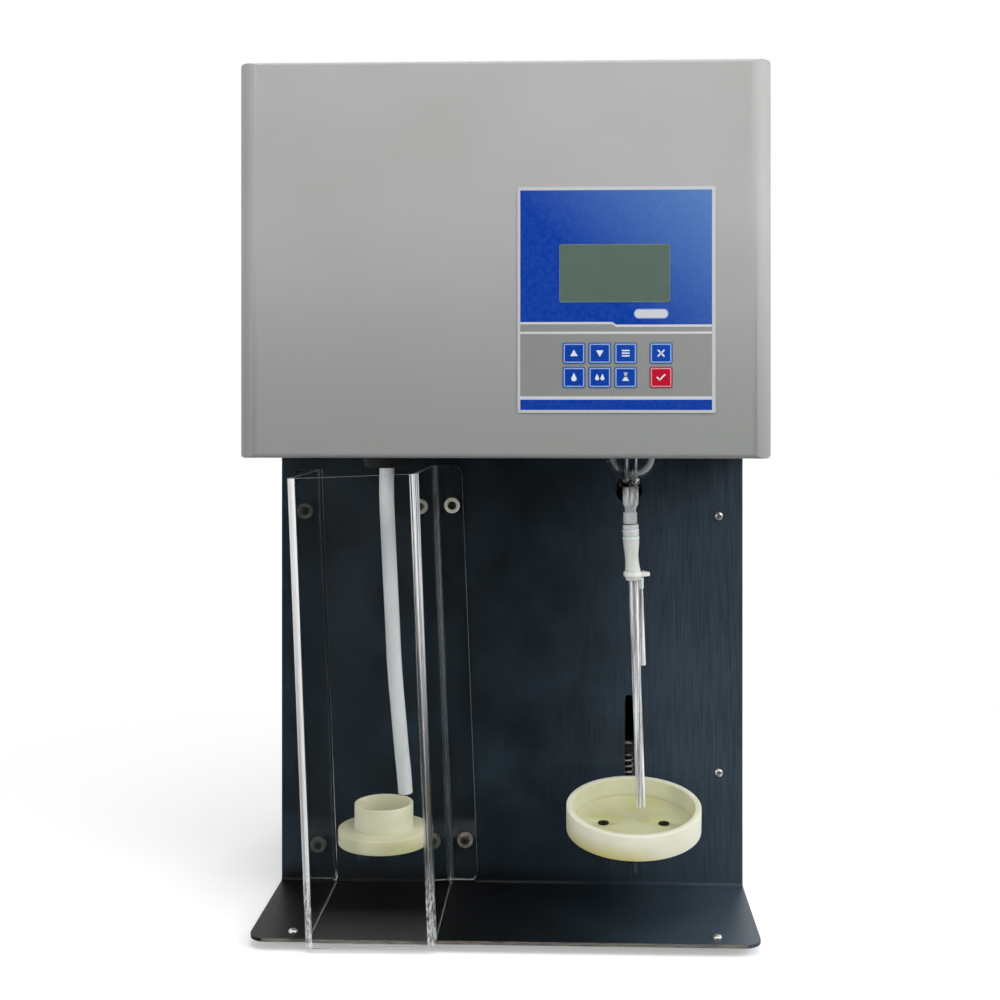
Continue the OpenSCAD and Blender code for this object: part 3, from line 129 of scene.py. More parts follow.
# Noise on the piece's own coordinates: size is the distance between its marks in metres, one for all ways
# or three along X, Y, Z
def grain(finish, size, detail=3.0, rough=0.55, lean=0.0):
    tree, place = finish.node_tree, own_place(finish)
    size = (size,) * 3 if isinstance(size, float) else size
    if lean:
        place = add_node(tree, "Mapping", {"Vector": place, "Rotation": (0, lean, 0)}).outputs[0]
    spread = add_node(tree, "Mapping", {"Vector": place, "Scale": tuple(1 / s for s in size)}).outputs[0]
    sockets = {"Vector": spread, "Scale": 1.0, "Detail": detail, "Roughness": rough}
    return add_node(tree, "TexNoise", sockets).outputs["Fac"]


def spread_range(value, low, high, start=0.3, end=0.7, **settings):
    sockets = {"Value": value, "From Min": start, "From Max": end, "To Min": low, "To Max": high}
    return add_node(value.id_data, "MapRange", sockets, **settings).outputs["Result"]


def roughen(value, low, high):
    feed("Roughness", spread_range(value, low, high))


def mottle(value, dark, light):
    ramp = add_node(value.id_data, "ValToRGB", {"Fac": value})
    for stop, place, colour in zip(ramp.color_ramp.elements, (0.32, 0.68), (dark, light)):
        stop.position = place
        stop.color = (*tone(colour), 1)
    feed("Base Color", ramp.outputs["Color"])
    return ramp.outputs["Color"]


def relief(value, depth, strength=1.0):
    bump = add_node(value.id_data, "Bump", {"Height": value, "Distance": depth, "Strength": strength})
    feed("Normal", bump.outputs["Normal"])


# Falls softly from 1 at one place to 0 at another, both in metres along one of the piece's own axes
def fade(finish, full, none, axis="Z"):
    level = split_axes(own_place(finish))[axis]
    return spread_range(level, 1.0, 0.0, full, none, interpolation_type="SMOOTHSTEP")


def blend_tone(base, share, colour):
    sockets = {0: share, 6: base, 7: (*tone(colour), 1)}
    mixed = add_node(base.id_data, "Mix", sockets, data_type="RGBA", blend_type="MIX").outputs[2]
    feed("Base Color", mixed)
    return mixed


def to_object(name, shape):
    mesh = bpy.data.meshes.new(name)
    shape.to_mesh(mesh)
    shape.free()
    made = bpy.data.objects.new(name, mesh)
    scene.collection.objects.link(made)
    return made


# Every new piece: its mesh, its finish, the body it moves with, and the CAD nodes that it stands for
def add_piece(name, shape, finishes, body, slot, *nodes, split=35):
    part = to_object(name, shape)
    for finish in finishes:
        part.data.materials.append(finish)
    part.data.shade_smooth()
    part.data.set_sharp_from_angle(angle=math.radians(split))
    if body:
        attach(part, body)
    if nodes:
        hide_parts(*nodes)
    return part


# Points every few millimetres on a smooth curve through the given ones, which are in millimetres
def smooth_route(points, step=4.0):
    points = [Vector(p) for p in points]
    ends = [2 * points[0] - points[1], *points, 2 * points[-1] - points[-2]]
    route = []
    for a, b, c, d in zip(ends, ends[1:], ends[2:], ends[3:]):
        square, cube = 2 * a - 5 * b + 4 * c - d, 3 * b - a - 3 * c + d
        count = max(2, round((c - b).length / step))
        for t in (k / count for k in range(count)):
            route.append(0.5 * (2 * b + (c - a) * t + square * t**2 + cube * t**3))
    return route + [points[-1]]


def route_length(route):
    return sum((b - a).length for a, b in zip(route, route[1:]))


def swing(start, way):
    return Vector(start).rotation_difference(Vector(way)).to_matrix().to_4x4()


# Tube drawn out ring by ring along a route; the radius is a number of millimetres, or a function that gives
# it for each share of the route
def draw_tube(shape, route, radius, sides=32):
    count = len(route)
    ways = [(route[min(i + 1, count - 1)] - route[max(i - 1, 0)]).normalized() for i in range(count)]
    sizes = [radius(i / (count - 1)) if callable(radius) else radius for i in range(count)]
    place = Matrix.Translation(route[0] * mm) @ swing((0, 0, 1), ways[0])
    ring = bmesh.ops.create_circle(shape, segments=sides, radius=sizes[0] * mm, matrix=place)["verts"]
    rim = first = list({e for v in ring for e in v.link_edges})
    for i in range(1, count):
        grown = bmesh.ops.extrude_edge_only(shape, edges=rim)["geom"]
        ring = [g for g in grown if isinstance(g, bmesh.types.BMVert)]
        rim = [g for g in grown if isinstance(g, bmesh.types.BMEdge)]
        step = Matrix.Translation(route[i] * mm) @ swing(ways[i - 1], ways[i])
        step = step @ Matrix.Scale(sizes[i] / sizes[i - 1], 4) @ Matrix.Translation(-route[i - 1] * mm)
        bmesh.ops.transform(shape, matrix=step, verts=ring)
    return first, rim


# Hollow tube: an outer and a bore surface, joined by a rim at each end
def draw_hose(route, radius, bore, sides=32):
    shape = bmesh.new()
    outer = draw_tube(shape, route, radius, sides)
    inner = draw_tube(shape, route, bore, sides)
    for a, b in zip(outer, inner):
        bmesh.ops.bridge_loops(shape, edges=a + b)
    bmesh.ops.recalc_face_normals(shape, faces=shape.faces)
    return shape


tube_x, tube_y = -106, -130
hose_radius, hose_bore = 6.5, 4.3
hose_route = smooth_route(
    [
        (tube_x, tube_y, 401), (tube_x, tube_y, 374), (-105, -129, 346), (-104, -127, 318),
        (-103, -124.5, 290), (-102, -122, 262), (-101, -120, 234), (-99.5, -117, 206),
        (-97.5, -114, 178), (-95.5, -111, 150), (-93.5, -107.5, 125), (-92.5, -105.8, 107.8),
    ]
)
white_silicone = new_finish("white silicone", (200, 202, 205), 0.38, waxy=(0.25, 0.004))
drawn = grain(white_silicone, (0.002, 0.002, 0.08))
silicone = mottle(grain(white_silicone, (0.03, 0.03, 0.12)), (194, 196, 198), (210, 212, 215))
# Painted light: the hose's upper end, in the hood's shadow, is painted whiter
blend_tone(silicone, fade(white_silicone, 0.385, 0.34), (248, 249, 250))
roughen(drawn, 0.3, 0.48)
relief(drawn, 0.0002, 0.3)
hose = draw_hose(hose_route, hose_radius, hose_bore)
steam_hose = add_piece("hanging_steam_hose", hose, [white_silicone], "frame", "white_hose", "steam_hose")


# Casing: 3 mm sheet bent into base plate and panel, with a thinner cover and back behind it. It is powder
# coated in a dark blue grey, and brushing across the panel has left fine upright marks in the coat.
def compute(operation, value, *others):
    sockets = dict(enumerate((value, *others)))
    return add_node(value.id_data, "Math", sockets, operation=operation).outputs[0]


def multiply(a, b):
    return compute("MULTIPLY", a, b)


# A CAD piece that keeps its own mesh gets its finish, soft edges and even shading
def dress(node, finish, edge=0.3, split=35):
    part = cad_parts[node]
    part.data.materials.clear()
    part.data.materials.append(finish)
    part.data.shade_smooth()
    part.modifiers.new("weld", "WELD").merge_threshold = 1e-6
    flat = part.modifiers.new("flat faces", "DECIMATE")
    flat.decimate_type = "DISSOLVE"
    flat.angle_limit = math.radians(0.5)
    if edge:
        soft = part.modifiers.new("soft edges", "BEVEL")
        soft.width = edge * mm
        soft.segments = 2
        soft.limit_method = "ANGLE"
        soft.angle_limit = math.radians(split)
        soft.harden_normals = False
    part.modifiers.new("even shading", "WEIGHTED_NORMAL").keep_sharp = False


powder_coat = new_finish("dark powder coat", (27, 36, 44), 0.42, Specular_IOR_Level=0.2)
brushed = grain(powder_coat, (0.0011, 0.0011, 0.03), 4)
coat = mottle(grain(powder_coat, (0.05, 0.05, 0.06), 5), (14, 23, 29), (29, 43, 52))
scuffs = spread_range(grain(powder_coat, (0.02, 0.001, 0.001), 3), 0.1, 0.9, 0.3, 0.6)
worn = multiply(fade(powder_coat, -0.1959, -0.1954, "Y"), scuffs)
# Painted sheen: the coat is paler towards the right, along the brushing marks, as if lit from the right.
# Painted shade: it is darker low down on the left, by the base plate.
paler = multiply(fade(powder_coat, 0.19, 0.0, "X"), spread_range(brushed, 0.35, 0.75))
coat = blend_tone(coat, paler, (66, 79, 92))
shaded = multiply(fade(powder_coat, 0.012, 0.03), fade(powder_coat, -0.05, 0.19, "X"))
coat = blend_tone(coat, shaded, (8, 9, 11))
blend_tone(coat, worn, (116, 111, 102))
roughen(brushed, 0.34, 0.55)
relief(brushed, 0.0002, 0.35)
for node in ("base_panel", "cabinet_cover", "rear_cover"):
    dress(node, powder_coat)


# Feet: four moulded rubber pads, one near each corner of the base plate. Each is screwed up through the
# sheet metal.
black_rubber = new_finish("black rubber", (17, 17, 18), 0.75)
relief(grain(black_rubber, 0.0008), 0.0001, 0.5)
dress("feet", black_rubber, edge=0.6)


# Floor pan: zinc-plated sheet that closes the cabinet below. The plating shows as soft patches of a
# lighter and a darker grey.
zinc = new_finish("zinc plating", (150, 153, 156), 0.4, metal=1.0)
mottle(grain(zinc, 0.012, 2), (132, 136, 140), (172, 175, 177))
dress("floor_pan", zinc)


# Brackets: satin grey sheet parts, namely the shelf below the hood and the pump bracket, and the two lift
# guides in black oxide.
grey_coat = new_finish("grey satin coat", (76, 80, 85), 0.5)
relief(grain(grey_coat, 0.0009), 0.0001, 0.4)
for node in ("head_shelf", "pump_bracket"):
    dress(node, grey_coat)
black_oxide = new_finish("black oxide", (24, 25, 27), 0.5, metal=0.3)
mottle(grain(black_oxide, 0.006), (18, 19, 21), (34, 35, 38))
dress("lift_guides", black_oxide)


# Guide rods: ground steel, pressed into the guides' ears. The sliders of the tray and of the tube holder
# run on them.
ground_steel = new_finish("ground steel", (190, 190, 186), 0.3, metal=1.0)
roughen(grain(ground_steel, (0.003, 0.003, 0.0006)), 0.2, 0.42)
dress("guide_rods", ground_steel)


# Lift springs: wound steel wire. The tray's spring shows in the panel's slot and stretches as the tray goes
# down; the tube holder's spring sits round its guide rod and shortens.
def on_circle(radius, turn, height, x=0.0, y=0.0):
    return Vector((x + radius * math.cos(turn), y + radius * math.sin(turn), height))


def wind(x, y, radius, low, high, turns, per_turn=28):
    steps = turns * per_turn
    return [
        on_circle(radius, math.tau * i / per_turn, low + (high - low) * i / steps, x, y)
        for i in range(steps + 1)
    ]


def draw_wire(shape, route, radius, sides):
    first, last = draw_tube(shape, route, radius, sides)
    bmesh.ops.holes_fill(shape, edges=first + last)
    bmesh.ops.recalc_face_normals(shape, faces=shape.faces)
    return shape


# Painted highlight: the wire is near white with little metal, so that the coils show bright in the dark slot
# as glints would
spring_steel = new_finish("bright spring steel", (248, 249, 250), 0.35, metal=0.1)
roughen(grain(spring_steel, 0.0007), 0.18, 0.36)
springs = {}
for name, node, coil, wire in (
    ("wound_tray_spring", "tray_spring", wind(110, -49.5, 4.2, 93, 130.7, 7), 0.6),
    ("wound_holder_spring", "holder_spring", wind(-108.4, -34, 5.8, 21.1, 54.9, 6), 0.8),
):
    shape = draw_wire(bmesh.new(), coil, wire, 10)
    springs[node] = add_piece(name, shape, [spring_steel], None, "spring_steel", node)
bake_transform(springs["tray_spring"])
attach(springs["holder_spring"], "frame")
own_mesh(springs["holder_spring"])


# Arms: black steel bars below the tray and the tube holder. They pass through the panel's slots, each
# with its slider behind the panel.
for node in ("tray_arm", "holder_arm"):
    dress(node, powder_coat)


# Receiving tray: turned from a disc of cream nylon, stained yellow in patches on its floor. Its inside and
# floor, and the front left of its foot, are yellowed and also painted darker as shade. It leans nine degrees
# forward and two countersunk screws hold it on its arm.
def at(x, y, z):
    return Matrix.Translation((x * mm, y * mm, z * mm))


def turned(degrees, axis):
    return Matrix.Rotation(math.radians(degrees), 4, axis)


def move(shape, place):
    bmesh.ops.transform(shape, matrix=place, verts=shape.verts)
    return shape


# A profile of radii and heights in millimetres, turned round Z and then set in its place
def turn_shape(profile, place=Matrix.Identity(4), steps=96):
    shape = bmesh.new()
    spots = [shape.verts.new((r * mm, 0, z * mm)) for r, z in profile]
    pairs = list(zip(spots, spots[1:]))
    if profile[0][0] > 0:
        pairs.append((spots[-1], spots[0]))
    geom = spots + [shape.edges.new(pair) for pair in pairs]
    bmesh.ops.spin(
        shape, geom=geom, cent=(0, 0, 0), axis=(0, 0, 1), angle=math.tau, steps=steps, use_merge=True
    )
    bmesh.ops.remove_doubles(shape, verts=shape.verts, dist=1e-7)
    bmesh.ops.recalc_face_normals(shape, faces=shape.faces)
    return move(shape, place)


def bevel(shape, edges, size, segments, **options):
    bmesh.ops.bevel(
        shape, geom=edges, offset=size * mm, offset_type="OFFSET", segments=segments, profile=0.5,
        affect="EDGES", material=-1, **options,
    )
    return shape


def soften(shape, size, segments=3):
    limit = math.radians(35)
    sharp = [e for e in shape.edges if len(e.link_faces) == 2 and e.calc_face_angle() > limit]
    return bevel(shape, sharp, size, segments, clamp_overlap=True)


# Distance from a turned piece's axis and height along it; the axis is given as its place and its lean
def lathe_place(finish, centre, lean):
    tree = finish.node_tree
    sockets = {"Vector": own_place(finish), "Location": centre, "Rotation": (lean, 0, 0)}
    axes = split_axes(add_node(tree, "Mapping", sockets, vector_type="TEXTURE").outputs[0])
    flat = add_node(tree, "CombineXYZ", {"X": axes["X"], "Y": axes["Y"]}).outputs[0]
    return add_node(tree, "VectorMath", {0: flat}, operation="LENGTH").outputs["Value"], axes["Z"]


# Fine rings that the lathe leaves, their pitch in metres
def turned_rings(finish, centre, lean, pitch):
    tree = finish.node_tree
    radius, height = lathe_place(finish, centre, lean)
    along = add_node(tree, "CombineXYZ", {"X": radius, "Y": height}).outputs[0]
    scaled = add_node(tree, "VectorMath", {0: along, "Scale": 1 / pitch}, operation="SCALE").outputs[0]
    return add_node(tree, "TexNoise", {"Vector": scaled, "Scale": 1.0, "Detail": 2.0}).outputs["Fac"]


tray_centre, tray_lean = (111 * mm, -126.6 * mm, 84 * mm), math.radians(9)
tray_nylon = new_finish(
    "tray nylon", (226, 223, 202), 0.42, waxy=(0.35, 0.006),
    Subsurface_Radius=(1.0, 0.9, 0.6), Specular_IOR_Level=0.2,
)
outside = mottle(grain(tray_nylon, (0.05, 0.05, 0.03)), (212, 212, 190), (222, 222, 208))
tray_radius, tray_height = lathe_place(tray_nylon, tray_centre, tray_lean)
# Painted shade with yellow staining: the inside is darker and yellower than the outside, and the floor more
# so
inner = spread_range(tray_radius, 1, 0, 53.2 * mm, 54.6 * mm)
inside = blend_tone(outside, inner, (204, 204, 172))
low = multiply(inner, spread_range(tray_height, 1, 0, 5 * mm, 9 * mm))
inside = blend_tone(inside, low, (194, 194, 158))
yellowed = spread_range(grain(tray_nylon, (0.035, 0.03, 0.03), 2), 0, 0.75, 0.42, 0.68)
inside = blend_tone(inside, multiply(low, yellowed), (184, 183, 118))
# The foot's front left is yellowed and painted darker as shade, on the side that gets less light
yellowed_and_shaded_corner = multiply(fade(tray_nylon, 0.1, 0.15, "X"), fade(tray_nylon, -0.17, -0.12, "Y"))
foot = multiply(spread_range(tray_height, 0.85, 0, 1 * mm, 15 * mm), yellowed_and_shaded_corner)
foot = multiply(foot, spread_range(inner, 1, 0, 0, 1))
blend_tone(inside, foot, (190, 180, 100))
rings = turned_rings(tray_nylon, tray_centre, tray_lean, 0.5 * mm)
roughen(rings, 0.36, 0.52)
relief(rings, 0.0001, 0.35)


# A shape with others cut out of it
def carve(*shapes):
    whole, *tools = made = [to_object("carving", shape) for shape in shapes]
    for tool in tools:
        cut = whole.modifiers.new("cut", "BOOLEAN")
        cut.operation = "DIFFERENCE"
        cut.solver = "EXACT"
        cut.object = tool
    carved = bmesh.new()
    carved.from_object(whole, bpy.context.evaluated_depsgraph_get())
    for part in made:
        bpy.data.objects.remove(part)
    return carved


tray = soften(turn_shape([(0, 5), (53.5, 5), (53.5, 22), (59, 22), (59, 0), (0, 0)], steps=128), 0.7)
sink = [(0, 6), (6.1, 6), (5.4, 5.1), (2.7, 2.4), (2.7, -1), (0, -1)]
tray = carve(tray, *(turn_shape(sink, at(x, 0, 0), 32) for x in (-26.5, 26.5)))
move(tray, Matrix.Translation(tray_centre) @ Matrix.Rotation(tray_lean, 4, "X"))
add_piece("receiving_tray", tray, [tray_nylon], "tray_carriage", "cream_nylon", "tray", split=50)


# Tray screws: blackened countersunk screws in the tray's floor. They hold the tray on its arm and go
# down with it.
dark_steel = new_finish("blackened steel", (52, 50, 46), 0.35, metal=1.0)
mottle(grain(dark_steel, 0.002), (40, 38, 35), (84, 80, 72))
dress("tray_screws", dark_steel, edge=0.15)


# Tube holder: cream nylon flange and collar turned in one piece, with a seat for the foot of a digestion
# tube. The flange has yellowed in patches.
holder_axis = (-108.4 * mm, -130 * mm, 0)
holder_nylon = new_finish("holder nylon", (196, 195, 168), 0.45, waxy=(0.35, 0.006), IOR=1.53)
cream = mottle(grain(holder_nylon, (0.03, 0.03, 0.02)), (194, 193, 164), (206, 205, 182))
patches = spread_range(grain(holder_nylon, 0.03, 1), 0.1, 0.9)
blend_tone(cream, multiply(fade(holder_nylon, 0.078, 0.09), patches), (184, 182, 136))
rings = turned_rings(holder_nylon, holder_axis, 0, 0.5 * mm)
roughen(rings, 0.38, 0.55)
relief(rings, 0.0001, 0.35)
profile = [(0, 80), (23, 80), (23, 106.1), (25.7, 106.1), (25.7, 84.4), (40, 84.4), (40, 72), (0, 72)]
holder = soften(turn_shape(profile, Matrix.Translation(holder_axis), 112), 0.6)
add_piece("tube_seat", holder, [holder_nylon], "holder_carriage", "cream_nylon", "tube_holder", split=50)


# Stopper: tapered black rubber, pressed up against the shelf, that seals the digestion tube. The steam
# hose is pushed on the stem below it.
roughen(turned_rings(black_rubber, (tube_x * mm, tube_y * mm, 0), 0, 0.9 * mm), 0.6, 0.85)
profile = [(4, 401), (19, 401), (22.5, 417.9), (6.1, 417.9), (6.1, 406), (4, 406)]
stopper = soften(turn_shape(profile, at(tube_x, tube_y, 0), 72), 0.8)
add_piece("rubber_stopper", stopper, [black_rubber], "frame", "black_rubber", "stopper")


# Glassware: blown borosilicate glass. The condenser's inner tube has five bulbs and ends in a hose nipple,
# and the splash head carries steam and vapour over to it. The outlet below the jacket is ground matt.
def blend_value(share, low, high):
    return add_node(share.id_data, "Mix", {0: share, 2: low, 3: high}, data_type="FLOAT").outputs[0]


clear_glass = new_finish(
    "clear borosilicate glass", (0.97, 0.98, 0.99), 0.0, IOR=1.47, Transmission_Weight=1.0
)
matt = spread_range(grain(clear_glass, (0.0025, 0.0025, 0.012), 2), 0.35, 0.85)
feed("Transmission Weight", blend_value(fade(clear_glass, 0.376, 0.386), 1.0, matt))
relief(grain(clear_glass, (0.012, 0.012, 0.03), 1), 0.0004, 0.25)
for node in ("splash_head", "condenser_jacket", "condenser_tube"):
    dress(node, clear_glass, edge=0)


# Condenser clamp: moulded black plastic ring with a tightening lug, standing on the shelf. It holds the
# condenser's jacket.
black_plastic = new_finish("black moulded plastic", (34, 34, 36), 0.5)
relief(grain(black_plastic, 0.0006, 2), 0.0001, 0.4)
dress("condenser_clamp", black_plastic, edge=0.5)


# Outlet: a short clear hose on the condenser's nipple, and below it a milky rubber sleeve that is wired
# twice at the top and tied round the delivery tube at its foot.
outlet_x, outlet_y = 107.9, -130
clear_hose = new_finish(
    "clear hose", (0.93, 0.94, 0.95), 0.12, waxy=(0.2, 0.002), IOR=1.43, Transmission_Weight=0.5
)
relief(grain(clear_hose, (0.003, 0.003, 0.02), 2), 0.0002, 0.4)
profile = [(4.95, 352), (5.6, 352), (6.1, 352.5), (6.1, 361.6), (5.7, 362.1), (4.95, 362.1)]
outlet = turn_shape(profile, at(outlet_x, outlet_y, 0), 48)
add_piece("outlet_hose_end", outlet, [clear_hose], "frame", "clear_hose", "outlet_hose")

milky_rubber = new_finish(
    "milky rubber", (222, 220, 208), 0.38, waxy=(0.5, 0.004), Transmission_Weight=0.15
)
mottle(grain(milky_rubber, (0.006, 0.006, 0.012)), (224, 223, 215), (240, 240, 236))
relief(grain(milky_rubber, (0.0025, 0.0025, 0.009), 4), 0.0006, 0.5)
sleeve_top = Vector((outlet_x, outlet_y, 351.2)) * mm
sleeve_low = Vector((110.7, -130, 302.6)) * mm
foot = -(sleeve_top - sleeve_low).length / mm
sleeve_place = Matrix.Translation(sleeve_top) @ swing((0, 0, -1), sleeve_low - sleeve_top)
outline = [
    (5.9, 0), (6.6, 0), (6.95, -0.6), (6.9, -2.6), (6.6, -4), (6.7, -6.2), (7.0, -7.4), (6.95, -9),
    (6.6, -10.2), (6.65, -12.2), (7.0, -13.6), (6.9, -16.5), (6.6, -20), (6.05, -25), (5.85, -29),
    (5.95, -33), (6.35, -37), (6.8, -40.5), (6.75, -42.2), (6.7, -44.6), (6.95, -46.4),
    (6.7, foot + 0.5), (6.3, foot), (4.7, foot), (4.65, -30), (5.9, -12),
]
sleeve = turn_shape(outline, sleeve_place, 64)
# Two slow waves make the soft rubber a little uneven
for phase, sway in ((0.9, 0.35), (2.3, 0.25)):
    for v in sleeve.verts:
        level = (sleeve_top.z - v.co.z) / mm
        v.co.x += sway * math.sin(level * 0.11 + phase) * mm * 0.6
        v.co.y += sway * math.sin(level * 0.17 + 2 * phase) * mm * 0.5
add_piece("outlet_rubber_sleeve", sleeve, [milky_rubber], "frame", "cream_rubber", "outlet_sleeve", split=60)

wire_ties = bmesh.new()
for depth in (4.9, 11.1):
    turns = [(i / 64, 2 * math.tau * i / 64) for i in range(65)]
    loop = [on_circle(7.15 - 0.05 * math.cos(3 * turn), turn, -depth - share) for share, turn in turns]
    draw_wire(wire_ties, loop, 0.42, 8)
add_piece("sleeve_wire_wraps", move(wire_ties, sleeve_place), [spring_steel], "frame", "spring_steel")


# Cable tie: natural nylon strap with its ratchet head at the right. It closes the foot of the outlet's
# sleeve round the delivery tube.
def add_block(shape, low, high):
    low, high = Vector(low) * mm, Vector(high) * mm
    place = Matrix.Translation((low + high) / 2) @ Matrix.Diagonal((*(high - low), 1))
    return bmesh.ops.create_cube(shape, size=1, matrix=place)["verts"]


def merge_shapes(*shapes):
    whole = bmesh.new()
    for part in shapes:
        mesh = bpy.data.meshes.new("part")
        part.to_mesh(mesh)
        part.free()
        whole.from_mesh(mesh)
        bpy.data.meshes.remove(mesh)
    return whole


tie_nylon = new_finish("natural nylon", (232, 231, 225), 0.4, waxy=(0.3, 0.002))
relief(grain(tie_nylon, (0.001, 0.001, 0.004)), 0.0001, 0.4)
tie_z = 307.9
strap = turn_shape([(7.45, -2.1), (8.3, -2.1), (8.3, 2.1), (7.45, 2.1)], at(110.4, -130, tie_z), 72)
head, tail = bmesh.new(), bmesh.new()
for v in add_block(head, (118.2, -133, 305.6), (125, -127, 310.2)):
    if v.co.x > 0.12:
        v.co.z += (0.9 if v.co.z < tie_z * mm else -0.9) * mm
add_block(tail, (119.6, -127.2, 306.2), (120.6, -119.5, 309.6))
tie = merge_shapes(*(soften(shape, size, 2) for shape, size in ((strap, 0.25), (head, 0.35), (tail, 0.2))))
add_piece("nylon_cable_tie", tie, [tie_nylon], "frame", "tie_nylon", "cable_tie")


# Delivery tube: thick-walled drawn glass with streaks along it, that leads the distillate down into the
# flask on the tray. The acid tube beside it is thinner, with a short white sleeve at its top end.
tube_glass = new_finish("drawn glass", (0.95, 0.955, 0.965), 0.05, IOR=1.47, Transmission_Weight=0.7)
drawn = grain(tube_glass, (0.0016, 0.0016, 0.09), 2)
feed("Transmission Weight", spread_range(drawn, 0.08, 0.95, 0.42, 0.58))
relief(drawn, 0.0004, 0.3)
profile = [(2.7, 0.5), (3.1, 0), (3.6, 0), (4, 0.5), (4, 207.9), (3.7, 208.3), (2.7, 208.3)]
delivery = turn_shape(profile, at(117.3, -130, 103.8) @ turned(-1.93, "Y"), 48)
add_piece("delivery_glass_tube", delivery, [tube_glass], "frame", "clear_glass", "delivery_tube")

acid_x, acid_y = 117.4, -117
profile = [(1.5, -67.6), (2.1, -68), (2.5, -67.5), (2.5, 0), (1.5, 0)]
acid = turn_shape(profile, at(acid_x, acid_y, 293.3) @ turned(-2, "Y"), 36)
add_piece("acid_glass_tube", acid, [tube_glass], "frame", "clear_glass", "acid_tube")
profile = [(2.1, 293.1), (2.8, 293.1), (3, 293.5), (3, 302.4), (2.7, 302.9), (2.1, 302.9)]
cuff = turn_shape(profile, at(acid_x, acid_y, 0), 36)
add_piece("acid_tube_cuff", cuff, [milky_rubber], "frame", "cream_rubber")


# Hood: moulded cover in a fine satin light grey, open below, that lifts off over the head. It is painted a
# little darker towards its lower edge, as shade.
hood_grey = new_finish("satin light grey", (166, 167, 165), 0.48)
fine = grain(hood_grey, 0.0006, 2)
clean = mottle(grain(hood_grey, (0.12, 0.12, 0.1), 2), (164, 165, 163), (169, 170, 169))
# Painted shade: the grey darkens towards the hood's lower edge
blend_tone(clean, fade(hood_grey, 0.4, 0.64), (143, 145, 143))
roughen(fine, 0.42, 0.55)
relief(fine, 0.00008, 0.35)
dress("hood", hood_grey, edge=0.5)


# Keypad overlay: printed polyester film, stuck on the hood's front. A blue field above and a grey one with
# the keys below are parted by light lines, one of which steps down to the right.
def from_cad(node):
    shape = bmesh.new()
    shape.from_mesh(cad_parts[node].data)
    bmesh.ops.remove_doubles(shape, verts=shape.verts, dist=1e-6)
    bmesh.ops.dissolve_limit(shape, angle_limit=math.radians(0.5), verts=shape.verts, edges=shape.edges)
    return shape


def split_at(shape, faces, point, normal):
    edges, verts = {e for f in faces for e in f.edges}, {v for f in faces for v in f.verts}
    geom = [*faces, *edges, *verts]
    bmesh.ops.bisect_plane(shape, geom=geom, plane_co=Vector(point) * mm, plane_no=normal, dist=1e-7)


# Every face takes the finish that the rule picks for it and for its centre, in millimetres
def paint(shape, rule):
    for face in shape.faces:
        face.material_index = rule(face, *(face.calc_center_median() / mm))
    return shape


# Ink that pales from the lower left to the upper right: a painted reflection, the haze of light on the glossy
# film
def printed(name, dark, light, rough=0.3, start=0.53, end=0.83):
    ink = new_finish(name, light, rough, Specular_IOR_Level=0.15)
    axes = split_axes(own_place(ink))
    painted_haze = spread_range(compute("ADD", axes["X"], axes["Z"]), 0.05, 0.85, start, end)
    flecks = spread_range(grain(ink, 0.004, 2), -0.05, 0.05)
    sockets = {0: compute("ADD", painted_haze, flecks), 6: (*tone(dark), 1), 7: (*tone(light), 1)}
    feed("Base Color", add_node(ink.node_tree, "Mix", sockets, data_type="RGBA").outputs[2])
    roughen(grain(ink, 0.0012, 2), rough - 0.05, rough + 0.07)
    return ink


film_blue = printed("blue print", (0, 54, 154), (92, 130, 186), start=0.64, end=0.8)
film_grey = printed("grey print", (134, 136, 134), (155, 155, 154))
film_light = printed("light print", (196, 199, 204), (207, 210, 214))
film_clear = printed("film margin", (186, 188, 191), (196, 198, 201))
film_left, film_right, film_low, film_high = 14.25, 172.55, 452.1, 634
band_high, band_edge, band_line_high = 460.7, 461.5, 463.4
line_low, line_high = 515, 516.9
step_line_low, step_line_high = 523.0, 524.9
step_left, step_right, step_drop = 90.3, 93.6, 2.2


def step_at(x):
    return -step_drop * min(1, max(0, (x - step_left) / (step_right - step_left)))


overlay = from_cad("keypad_overlay")
for x in (film_left, step_left, step_right, film_right):
    split_at(overlay, overlay.faces[:], (x, 0, 0), (1, 0, 0))
for z in (film_high, line_high, line_low, band_line_high, band_edge, film_low, band_high):
    split_at(overlay, overlay.faces[:], (0, 0, z), (0, 0, 1))
for low in (step_line_high, step_line_low):
    for start, end in ((0, step_left), (step_left, step_right), (step_right, 200)):
        inside = [f for f in overlay.faces if start < f.calc_center_median().x / mm < end]
        slope = (step_at(end) - step_at(start)) / (end - start)
        split_at(overlay, inside, (start, 0, low + step_at(start)), (-slope, 0, 1))


def film_print(face, x, y, z):
    drop = step_at(x)
    if face.normal.y > -0.5 or not (film_left < x < film_right and film_low < z < film_high):
        return 3
    if z > step_line_high + drop or film_low < z < band_high:
        return 0
    if z > step_line_low + drop or line_low < z < line_high or band_high < z < band_line_high:
        return 2
    return 1


add_piece(
    "printed_keypad_film", paint(overlay, film_print), [film_blue, film_grey, film_light, film_clear],
    "hood_assembly", "overlay_print", "keypad_overlay", split=20,
)


# Label place: a blank light pill on the film, below the display. A pale blue rim goes round it, and it
# carries no lettering.
def round_corners(shape, size, segments):
    edges = [e for e in shape.edges if abs((e.verts[0].co - e.verts[1].co).normalized().y) > 0.9]
    return bevel(shape, edges, size, segments)


def front_faces(shape):
    return [f for f in shape.faces if f.normal.y < -0.9]


def inset(shape, faces, width, depth=0.0):
    return bmesh.ops.inset_region(
        shape, faces=faces, thickness=width * mm, depth=depth * mm, use_even_offset=True
    )["faces"]


